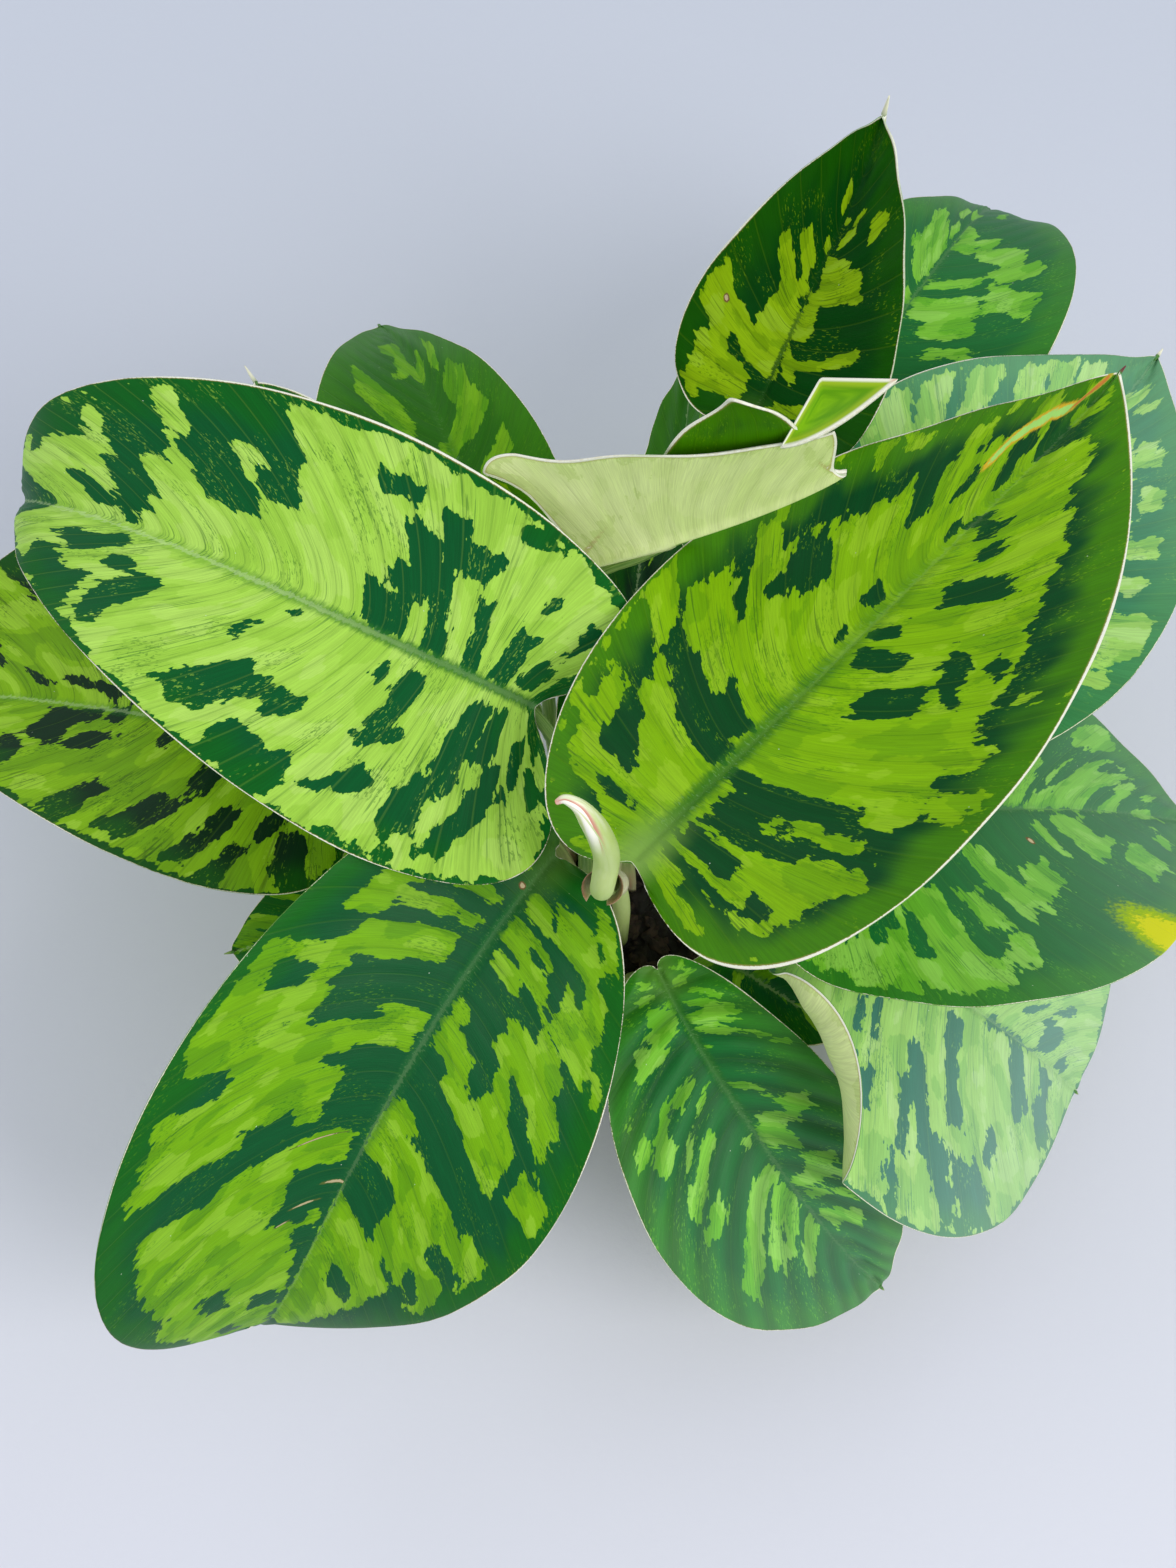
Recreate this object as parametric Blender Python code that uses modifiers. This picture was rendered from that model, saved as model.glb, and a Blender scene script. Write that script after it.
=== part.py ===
"""Potted homalomena: a clump of patterned, broad-leaved plants in a small nursery pot.

Frame: millimetres in the tables, metres in the scene; +Z up, the pot stands on z = 0 with its
centre on the Z axis, and +Y is the side the tall young leaf stands on.
"""
import math

import bmesh
import bpy
import numpy as np

NAME = "potted_homalomena"
MM = 0.001

# ---------------------------------------------------------------- pot and soil
POT_HEIGHT = 95.0
POT_BASE_R = 37.0          # outside radius at the foot
POT_TOP_R = 51.0           # outside radius under the rim
POT_WALL = 1.5
POT_FLOOR = 2.0
RIM_R = 53.5               # outside radius of the rolled rim
RIM_DROP = 7.0             # how far the rim hangs down outside
DRAIN_COUNT = 6
DRAIN_R = 4.0
DRAIN_RING_R = 25.0
POT_SIDES = 48

GAP = 0.3                  # clear gap between pieces that touch
SOIL_TOP = 88.0            # level of the soil at the wall
SOIL_SIDES = 48

# ---------------------------------------------------------------- crowns (short stems)
STEM_R = 6.0
STEM_HEIGHT = 15.0
CROWNS = {
    "rear": (-12.0, 15.0),
    "right": (25.0, 14.0),
    "front": (-13.0, -17.0),
}
FOOT_RING = 9.6            # radius of the ring of leaf-stalk feet round each stem
STALK_FOOT_R = 2.7
STALK_TOP_R = 1.6
STALK_STEPS = 10
STALK_UNDER = 11.0         # length of stalk lying under the midrib
FOOT_GAP = 0.8             # room for the slant of a stalk's foot above the soil

# ---------------------------------------------------------------- leaf blades
BLADE_THICK = 1.0
BLADE_ROWS = 10            # cells from base to tip
BLADE_HALF = 4             # cells from midrib to margin
S_BASE = 0.02
S_TIP = 0.97

# What every blade has unless its own line says otherwise.
#   x, y, z        where the stalk meets the blade, mm
#   az, pitch      heading and rise of the midrib at the base, degrees
#   roll           turn about the midrib, degrees
#   droop, tip     downward bend along the whole blade and at the tip alone, degrees
#   sweep, twist   sideways bend and turn about the midrib along the blade, degrees
#   cup            angle of each half above the level, left and right, degrees
#   curl, unroll   extra upward curl at each margin, left and right, degrees, and the part of
#                  the margin's run where it ends
#   length, width  of the flattened blade, mm; left, right scale each half
#   lobe           depth of the heart-shaped base
#   belly, full, point   where the blade is widest, how full and how blunt it is; these
#                  three and the lobe may be a pair, for the left and the right half
#   wave, waves, phase   height and number of ripples along the margin
#   crown, foot    the stem the stalk grows from and the side of it, degrees
#   upright, lead  how far the stalk keeps upright at its foot and straight under the blade
#   slack          extra room between the stalk and the blade, mm
LEAF = dict(
    x=0, y=0, z=150, az=0, pitch=0, roll=0, droop=20, tip=0, sweep=0, twist=0,
    cup=(8, 8), curl=(10, 10), unroll=2.0, length=155, width=104, left=1.0, right=1.0,
    lobe=1.5, belly=0.88, full=0.86, point=4.0, wave=0.0, waves=3.0, phase=0,
    crown="rear", foot=0, upright=0.5, lead=0.3, slack=0.1)

LEAVES = {
    # the big leaf at the left, its end turned down
    "leaf_01": dict(x=-29, y=29, z=182, az=152, pitch=13, roll=-15, droop=23, tip=84,
                    sweep=17, cup=(4, 16), length=182, width=101, left=1.27, right=1.02,
                    lobe=(2.3, 1.9), belly=(0.8, 1.0), full=(1.05, 0.67), point=(2.1, 3.0),
                    crown="front", foot=110, upright=0.55, lead=0.3),
    # the topmost leaf, reaching to the back right
    "leaf_02": dict(x=-5, y=-21, z=206, az=47, pitch=8, roll=-10, droop=24, tip=-22,
                    sweep=2, cup=(-5, 8), curl=(15, 10), length=190, width=112, left=0.94,
                    right=1.16, lobe=1.0, belly=(0.88, 0.8), full=(1.12, 1.0),
                    point=(3.4, 3.2), crown="rear", foot=290, upright=0.7, lead=0.06),
    # the big leaf at the front left
    "leaf_03": dict(x=-24, y=-1, z=150, az=231, pitch=6, roll=-21, droop=64, tip=28,
                    sweep=43, cup=(4, 15), length=191, width=114, left=1.06, right=1.1,
                    lobe=(0.5, 1.2), belly=(1.15, 1.28), full=0.8, point=(3.9, 6.0),
                    crown="front", foot=180, upright=0.7, lead=0.06),
    # behind leaf 1, low at the left
    "leaf_04": dict(x=-83, y=37, z=130, az=165, pitch=-1, roll=-4, droop=34, tip=-4,
                    sweep=4, cup=(7, 8), length=165, width=106, left=1.08, right=1.21,
                    lobe=1.2, belly=(0.73, 0.81), full=(0.9, 0.8), point=(1.8, 4.0),
                    crown="rear", foot=170, upright=0.25, lead=0.4),
    # behind leaf 1, at the back, tip turned away and down
    "leaf_05": dict(x=-39, y=67, z=140, az=103, pitch=19, roll=8, droop=73, tip=-7, sweep=3,
                    cup=(6, 4), length=150, width=97, left=1.05, right=0.76,
                    belly=(0.9, 0.92), full=0.88, point=(2.0, 1.6), crown="rear", foot=80,
                    upright=0.25, lead=0.4),
    # the young leaf standing at the back
    "leaf_06": dict(x=30, y=121, z=166, az=50, pitch=57, roll=5, droop=-21, tip=-15,
                    cup=(18, 15), length=110, width=93, left=0.88, lobe=0.7,
                    belly=(0.93, 0.97), full=(1.0, 0.98), point=1.4, crown="right", foot=90,
                    upright=0.25, lead=0.5, slack=0.5),
    # lowest at the back right
    "leaf_07": dict(x=42, y=132, z=118, az=50, pitch=19, roll=2, droop=71, tip=11, sweep=17,
                    cup=(5, 3), length=175, width=106, left=0.93, right=0.9,
                    belly=(0.81, 0.89), full=(0.87, 0.82), point=(1.4, 4.5), crown="right",
                    foot=50, upright=0.25, lead=0.5, slack=0.7),
    # right, under leaf 2
    "leaf_08": dict(x=67, y=52, z=154, az=47, pitch=5, roll=4, droop=41, tip=-28, sweep=7,
                    cup=(7, 4), length=155, width=109, left=1.13, right=1.05, lobe=1.25,
                    belly=0.85, full=1.04, point=2.5, crown="rear", foot=20, upright=0.55,
                    lead=0.4),
    # right, level, end turned down
    "leaf_09": dict(x=38, y=12, z=136, az=9, pitch=-4, roll=-3, droop=45, tip=-3, sweep=5,
                    cup=(3, 5), length=155, width=108, left=0.88, right=1.16, belly=0.87,
                    full=0.88, crown="right", foot=290, upright=0.55, lead=0.2),
    # lower right, right margin rolled over
    "leaf_10": dict(x=49, y=-8, z=120, az=-25, pitch=-17, roll=10, droop=49, tip=-5,
                    sweep=-3, cup=(4, 13), curl=(10, 217), unroll=0.14, length=128,
                    width=106, left=0.94, right=1.24, belly=(0.99, 0.93), full=(0.86, 0.82),
                    point=(6.3, 6.9), crown="right", foot=340, upright=0.55, lead=0.4),
    # lower middle, hanging towards the front
    "leaf_11": dict(x=4, y=-24, z=118, az=-63, pitch=-17, roll=9, droop=49, tip=4, sweep=19,
                    cup=(6, 13), length=142, width=94, left=0.76, right=1.02, lobe=0.6,
                    belly=1.25, full=1.05, point=3.0, crown="front", foot=330, upright=0.55,
                    lead=0.2),
    # the half-rolled young leaf behind leaves 1 and 2
    "leaf_12": dict(x=-16, y=67, z=188, az=-1, pitch=29, roll=-13, droop=-21, tip=-82,
                    sweep=1, twist=34, cup=(75, 100), curl=(-13, -8), length=119, width=97,
                    left=0.88, right=0.8, lobe=(0.6, 2.0), belly=(1.58, 0.4),
                    full=(1.26, 0.75), point=(4.9, 4.7), wave=2.5, waves=5, crown="rear",
                    foot=130, upright=0.25, lead=0.4),
    # small leaves low in the clump
    "leaf_13": dict(x=-44, y=-2, z=108, az=188, pitch=0, droop=20, length=78, width=54,
                    crown="rear", foot=250, upright=0.25, lead=0.4),
    "leaf_14": dict(x=9, y=97, z=132, az=83, pitch=30, roll=-60, droop=0, length=58,
                    width=38, crown="right", foot=130, upright=0.25, lead=0.4),
    "leaf_15": dict(x=-26, y=-32, z=104, az=242, pitch=-14, droop=26, length=104, width=56,
                    crown="front", foot=260, upright=0.25, lead=0.06),
    "leaf_16": dict(x=-9, y=18, z=142, az=83, pitch=15, droop=10, length=84, width=46,
                    left=0.75, right=1.2, crown="rear", foot=330, upright=0.55, lead=0.3),
    "leaf_17": dict(x=20, y=-14, z=101, az=-33, pitch=0, droop=6, cup=(4, 4), length=46,
                    width=30, crown="right", foot=250, upright=0.25, lead=0.2),
    # hidden under leaf 1, only its tip shows
    "leaf_18": dict(x=-58, y=50, z=160, az=121, pitch=10, droop=18, cup=(14, 14), length=103,
                    width=44, crown="rear", foot=210, upright=0.25, lead=0.4),
}

# ---------------------------------------------------------------- the rolled new shoot
# centre line (x, y, z) and radius, from the soil to the hooked tip
SHOOT = [
    (-6.0, -7.0, SOIL_TOP + FOOT_GAP, 2.6),
    (-6.0, -6.5, 120.0, 2.8),
    (-8.0, -8.0, 146.0, 3.0),
    (-11.5, -15.5, 172.0, 3.2),
    (-12.0, -25.5, 200.0, 3.3),
    (-11.0, -23.5, 217.0, 3.5),
    (-12.5, -22.7, 231.0, 3.1),
    (-15.0, -21.8, 241.0, 2.5),
    (-17.5, -20.5, 246.0, 1.7),
    (-20.5, -19.5, 247.5, 1.1),
    (-22.5, -19.7, 246.0, 0.6),
]
SHOOT_ROUNDNESS = 2

COLOURS = {
    "pot": ((0.012, 0.012, 0.013), 0.45),
    "soil": ((0.020, 0.014, 0.010), 0.95),
    "stem": ((0.30, 0.33, 0.12), 0.6),
    "stalk": ((0.25, 0.36, 0.10), 0.5),
    "blade": ((0.12, 0.33, 0.02), 0.4),
    "shoot": ((0.60, 0.62, 0.32), 0.45),
}


# ---------------------------------------------------------------- helpers
def material(name, kind):
    colour, rough = COLOURS[kind]
    mat = bpy.data.materials.new(name)
    mat.use_nodes = True
    shader = mat.node_tree.nodes["Principled BSDF"]
    shader.inputs["Base Color"].default_value = (*colour, 1.0)
    shader.inputs["Roughness"].default_value = rough
    shader.inputs["Metallic"].default_value = 0.0
    return mat


def add_object(name, data, kind, collection):
    obj = bpy.data.objects.new(name, data)
    collection.objects.link(obj)
    data.materials.append(material(name, kind))
    return obj


def turned(name, profile, sides, kind, collection):
    """A solid turned about Z from a closed (radius, z) profile that starts and ends on the axis."""
    bm = bmesh.new()
    verts = [bm.verts.new((r * MM, 0.0, z * MM)) for r, z in profile]
    for a, b in zip(verts, verts[1:]):
        bm.edges.new((a, b))
    mesh = bpy.data.meshes.new(name)
    bm.to_mesh(mesh)
    bm.free()
    obj = add_object(name, mesh, kind, collection)
    screw = obj.modifiers.new("turn", "SCREW")
    screw.angle = math.radians(360.0)
    screw.steps = sides
    screw.render_steps = sides
    screw.use_merge_vertices = True
    screw.merge_threshold = 0.00001
    screw.use_normal_flip = True
    return obj


def tube(name, points, res, kind, collection):
    """A round tube with closed ends along (x, y, z, radius) points."""
    curve = bpy.data.curves.new(name, "CURVE")
    curve.dimensions = "3D"
    curve.bevel_depth = MM
    curve.bevel_resolution = res
    curve.use_fill_caps = True
    spline = curve.splines.new("POLY")
    spline.points.add(len(points) - 1)
    for point, (x, y, z, radius) in zip(spline.points, points):
        point.co = (x * MM, y * MM, z * MM, 1.0)
        point.radius = radius
    return add_object(name, curve, kind, collection)


# ---------------------------------------------------------------- the blade surface
def blade_axes(leaf):
    """Unit vectors along the midrib, to its left and up from the blade, at the blade's base."""
    az, pitch, roll = (math.radians(leaf[k]) for k in ("az", "pitch", "roll"))
    along = np.array([math.cos(az) * math.cos(pitch), math.sin(az) * math.cos(pitch),
                      math.sin(pitch)])
    level = np.array([-math.sin(az), math.cos(az), 0.0])
    up = np.cross(along, level)
    left = level * math.cos(roll) + up * math.sin(roll)
    return along, left, up * math.cos(roll) - level * math.sin(roll)


def midrib(leaf, xi):
    """Points, tangents, left and up vectors of the midrib in the blade's own axes."""
    steps = 64
    mids = (np.arange(steps) + 0.5) / steps
    ends = np.linspace(0.0, 1.0, steps + 1)

    def tangent(f):
        bend = np.radians(leaf["droop"] * f + leaf["tip"] * f ** 6)
        swing = np.radians(leaf["sweep"] * f)
        return np.stack([np.cos(swing) * np.cos(bend), np.sin(swing) * np.cos(bend),
                         -np.sin(bend)], -1)

    path = np.cumsum(tangent(mids), 0) * leaf["length"] / steps
    path = np.concatenate([np.zeros((1, 3)), path])
    point = np.stack([np.interp(xi, ends, path[:, k]) for k in range(3)], -1)
    swing = np.radians(leaf["sweep"] * xi)
    along = tangent(xi)
    left = np.stack([-np.sin(swing), np.cos(swing), 0.0 * swing], -1)
    up = np.cross(along, left)
    turn = np.radians(leaf["twist"] * xi)[..., None]
    return point, along, left * np.cos(turn) + up * np.sin(turn), \
        up * np.cos(turn) - left * np.sin(turn)


def by_side(value, is_left):
    """A number, or of a pair the first one on the left and the second one on the right."""
    return np.where(is_left, *value) if isinstance(value, tuple) else value


def blade_points(leaf, s, t):
    """Points of the blade, mm. s runs from base to tip along the margin, t from -1 at the
    right margin over 0 at the midrib to 1 at the left margin, and a line of constant s is a
    side vein."""
    length, half = leaf["length"], leaf["width"] / 2.0
    reach = np.abs(t)
    is_left = t >= 0.0
    lobe, belly, full, point = (by_side(leaf[k], is_left)
                                for k in ("lobe", "belly", "full", "point"))
    margin_x = length * ((1.0 - np.cos(np.pi * s)) / 2.0 - lobe * s * (1.0 - s) ** 5)
    margin_y = np.sin(np.pi * s ** belly) ** full * (1.0 - s ** point)
    margin_y = margin_y * half / 0.975 * np.where(is_left, leaf["left"], leaf["right"])
    vein_x = length * s ** 1.9
    # near the tip the veins turn square to the midrib
    vein_x = vein_x + (margin_x - vein_x) * np.clip((s - 0.75) / 0.22, 0.0, 1.0) ** 2
    x = vein_x + (margin_x - vein_x) * reach ** 1.5
    y = margin_y * reach

    xi = np.clip(x / length, 0.0, 1.0)
    place, _, left, up = midrib(leaf, xi)
    place[..., 0] += np.minimum(x, 0.0)

    cup = np.radians(np.where(is_left, *leaf["cup"]))
    curl = np.radians(np.where(is_left, *leaf["curl"]))
    curl = curl * (1.0 - np.clip((s - leaf["unroll"]) / 0.25, 0.0, 1.0))
    out = np.zeros_like(y)
    rise = np.zeros_like(y)
    slices = 16
    for k in range(slices):
        angle = cup + curl * (y * (k + 0.5) / slices / half) ** 2
        out += np.cos(angle) * y / slices
        rise += np.sin(angle) * y / slices
    ripple = np.sin(2.0 * np.pi * leaf["waves"] * s + np.radians(leaf["phase"])
                    + np.where(is_left, 0.0, 1.3))
    rise = rise + leaf["wave"] * (y / half) ** 2 * ripple

    sign = np.where(is_left, 1.0, -1.0)
    local = place + left * (sign * out)[..., None] + up * rise[..., None]
    base_along, base_left, base_up = blade_axes(leaf)
    origin = np.array([leaf["x"], leaf["y"], leaf["z"]])
    return origin + local[..., :1] * base_along + local[..., 1:2] * base_left \
        + local[..., 2:] * base_up


def make_blade(name, leaf, collection):
    bm = bmesh.new()
    bmesh.ops.create_grid(bm, x_segments=BLADE_ROWS, y_segments=2 * BLADE_HALF, size=1.0)
    flat = np.array([v.co[:2] for v in bm.verts])
    s = S_BASE + (S_TIP - S_BASE) * (flat[:, 0] + 1.0) / 2.0
    for vert, place in zip(bm.verts, blade_points(leaf, s, flat[:, 1])):
        vert.co = place * MM
    mesh = bpy.data.meshes.new(name)
    bm.to_mesh(mesh)
    bm.free()
    obj = add_object(name, mesh, "blade", collection)
    skin = obj.modifiers.new("thickness", "SOLIDIFY")
    skin.thickness = BLADE_THICK * MM
    skin.offset = 0.0
    return obj


def stalk_points(leaf):
    """The stalk's centre line: up from its foot, then along under the midrib."""
    cx, cy = CROWNS[leaf["crown"]]
    turn = math.radians(leaf["foot"])
    foot = np.array([cx + FOOT_RING * math.cos(turn), cy + FOOT_RING * math.sin(turn),
                     SOIL_TOP + FOOT_GAP])
    xi = np.array(STALK_UNDER / leaf["length"])
    point, along, _, up = midrib(leaf, xi)
    axes = np.array(blade_axes(leaf))
    drop = BLADE_THICK / 2.0 + GAP + STALK_TOP_R + leaf["slack"]
    end = np.array([leaf["x"], leaf["y"], leaf["z"]]) + (point - up * drop) @ axes
    heading = along @ axes
    span = np.linalg.norm(end - foot)
    rise = foot + np.array([0.0, 0.0, leaf["upright"] * span])
    lead = end - heading * leaf["lead"] * span
    points = []
    for k in range(STALK_STEPS + 1):
        f = k / STALK_STEPS
        place = (1 - f) ** 3 * foot + 3 * f * (1 - f) ** 2 * rise \
            + 3 * f * f * (1 - f) * lead + f ** 3 * end
        radius = STALK_FOOT_R + (STALK_TOP_R - STALK_FOOT_R) * f ** 0.6
        points.append((*place, radius))
    return points


# ---------------------------------------------------------------- build
def clear_scene():
    for obj in list(bpy.data.objects):
        bpy.data.objects.remove(obj, do_unlink=True)


def make_pot(collection, cutters):
    wall_in = POT_WALL
    slope = (POT_TOP_R - POT_BASE_R) / (POT_HEIGHT - RIM_DROP)
    floor_r = POT_BASE_R + slope * POT_FLOOR - wall_in
    top_in = POT_TOP_R - wall_in
    neck = POT_HEIGHT - RIM_DROP
    profile = [
        (0.0, 0.0), (POT_BASE_R - 1.0, 0.0), (POT_BASE_R, 1.0), (POT_TOP_R, neck),
        (RIM_R, neck), (RIM_R, POT_HEIGHT - 1.0), (RIM_R - 1.0, POT_HEIGHT),
        (top_in + 0.5, POT_HEIGHT), (top_in, POT_HEIGHT - 1.0), (top_in, neck),
        (floor_r, POT_FLOOR), (0.0, POT_FLOOR)]
    pot = turned("pot", profile, POT_SIDES, "pot", collection)
    holes = bmesh.new()
    for k in range(DRAIN_COUNT):
        turn = 2.0 * math.pi * k / DRAIN_COUNT
        made = bmesh.ops.create_cone(holes, cap_ends=True, segments=16, radius1=DRAIN_R * MM,
                                     radius2=DRAIN_R * MM, depth=4.0 * POT_FLOOR * MM)
        bmesh.ops.translate(holes, verts=made["verts"], vec=(
            DRAIN_RING_R * math.cos(turn) * MM, DRAIN_RING_R * math.sin(turn) * MM, 0.0))
    mesh = bpy.data.meshes.new("drain_holes")
    holes.to_mesh(mesh)
    holes.free()
    cutter = bpy.data.objects.new("drain_holes", mesh)
    cutters.objects.link(cutter)
    cutter.hide_render = True
    cutter.display_type = "WIRE"
    cut = pot.modifiers.new("drain holes", "BOOLEAN")
    cut.operation = "DIFFERENCE"
    cut.object = cutter
    cut.solver = "EXACT"
    return pot


def make_soil(collection):
    slope = (POT_TOP_R - POT_BASE_R) / (POT_HEIGHT - RIM_DROP)
    low = POT_FLOOR + GAP
    low_r = POT_BASE_R + slope * low - POT_WALL - GAP
    top_r = POT_BASE_R + slope * SOIL_TOP - POT_WALL - GAP
    profile = [(0.0, low), (low_r, low), (top_r, SOIL_TOP), (0.0, SOIL_TOP)]
    return turned("soil", profile, SOIL_SIDES, "soil", collection)


def make_stem(name, centre, collection):
    low = SOIL_TOP + GAP
    profile = [(0.0, low), (STEM_R, low), (STEM_R, low + STEM_HEIGHT - 3.0),
               (STEM_R - 2.0, low + STEM_HEIGHT - 0.8), (0.0, low + STEM_HEIGHT)]
    stem = turned(name, profile, 16, "stem", collection)
    stem.location = (centre[0] * MM, centre[1] * MM, 0.0)
    return stem


def main():
    clear_scene()
    plant = bpy.data.collections.new(NAME)
    cutters = bpy.data.collections.new("cutters")
    bpy.context.scene.collection.children.link(plant)
    bpy.context.scene.collection.children.link(cutters)
    make_pot(plant, cutters)
    make_soil(plant)
    for side, centre in CROWNS.items():
        make_stem("stem_" + side, centre, plant)
    for name, settings in LEAVES.items():
        leaf = {**LEAF, **settings}
        make_blade(name, leaf, plant)
        tube("stalk_" + name[-2:], stalk_points(leaf), 1, "stalk", plant)
    tube("new_shoot", SHOOT, SHOOT_ROUNDNESS, "shoot", plant)


main()
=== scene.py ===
import math

import bmesh
import bpy
import numpy as np
from mathutils import Matrix, Vector, kdtree


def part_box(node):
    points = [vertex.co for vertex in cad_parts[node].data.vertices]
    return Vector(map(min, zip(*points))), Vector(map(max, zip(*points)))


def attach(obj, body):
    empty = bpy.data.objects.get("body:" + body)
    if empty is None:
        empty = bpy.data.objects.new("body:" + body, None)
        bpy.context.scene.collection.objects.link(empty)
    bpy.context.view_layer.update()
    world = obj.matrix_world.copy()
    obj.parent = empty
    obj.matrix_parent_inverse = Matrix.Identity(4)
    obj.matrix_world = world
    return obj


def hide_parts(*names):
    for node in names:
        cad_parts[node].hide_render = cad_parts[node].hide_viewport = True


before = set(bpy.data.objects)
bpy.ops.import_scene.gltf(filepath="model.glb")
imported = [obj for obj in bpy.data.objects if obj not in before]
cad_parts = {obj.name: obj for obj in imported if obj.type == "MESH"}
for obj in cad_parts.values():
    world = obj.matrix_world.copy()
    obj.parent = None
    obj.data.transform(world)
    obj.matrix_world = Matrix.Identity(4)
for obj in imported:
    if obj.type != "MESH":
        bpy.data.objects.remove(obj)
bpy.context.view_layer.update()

MM = 0.001

# ================================================================ the leaves' shapes
# Every blade's shape, in millimetres and degrees, as the CAD model has it. Only leaf_16 is a
# little wider on its left here.
LEAF = dict(
    x=0, y=0, z=150, az=0, pitch=0, roll=0, droop=20, tip=0, sweep=0, twist=0,
    cup=(8, 8), curl=(10, 10), unroll=2.0, length=155, width=104, left=1.0, right=1.0,
    lobe=1.5, belly=0.88, full=0.86, point=4.0, wave=0.0, waves=3.0,
    crown="rear", foot=0, upright=0.5, lead=0.3, slack=0.1)

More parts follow.
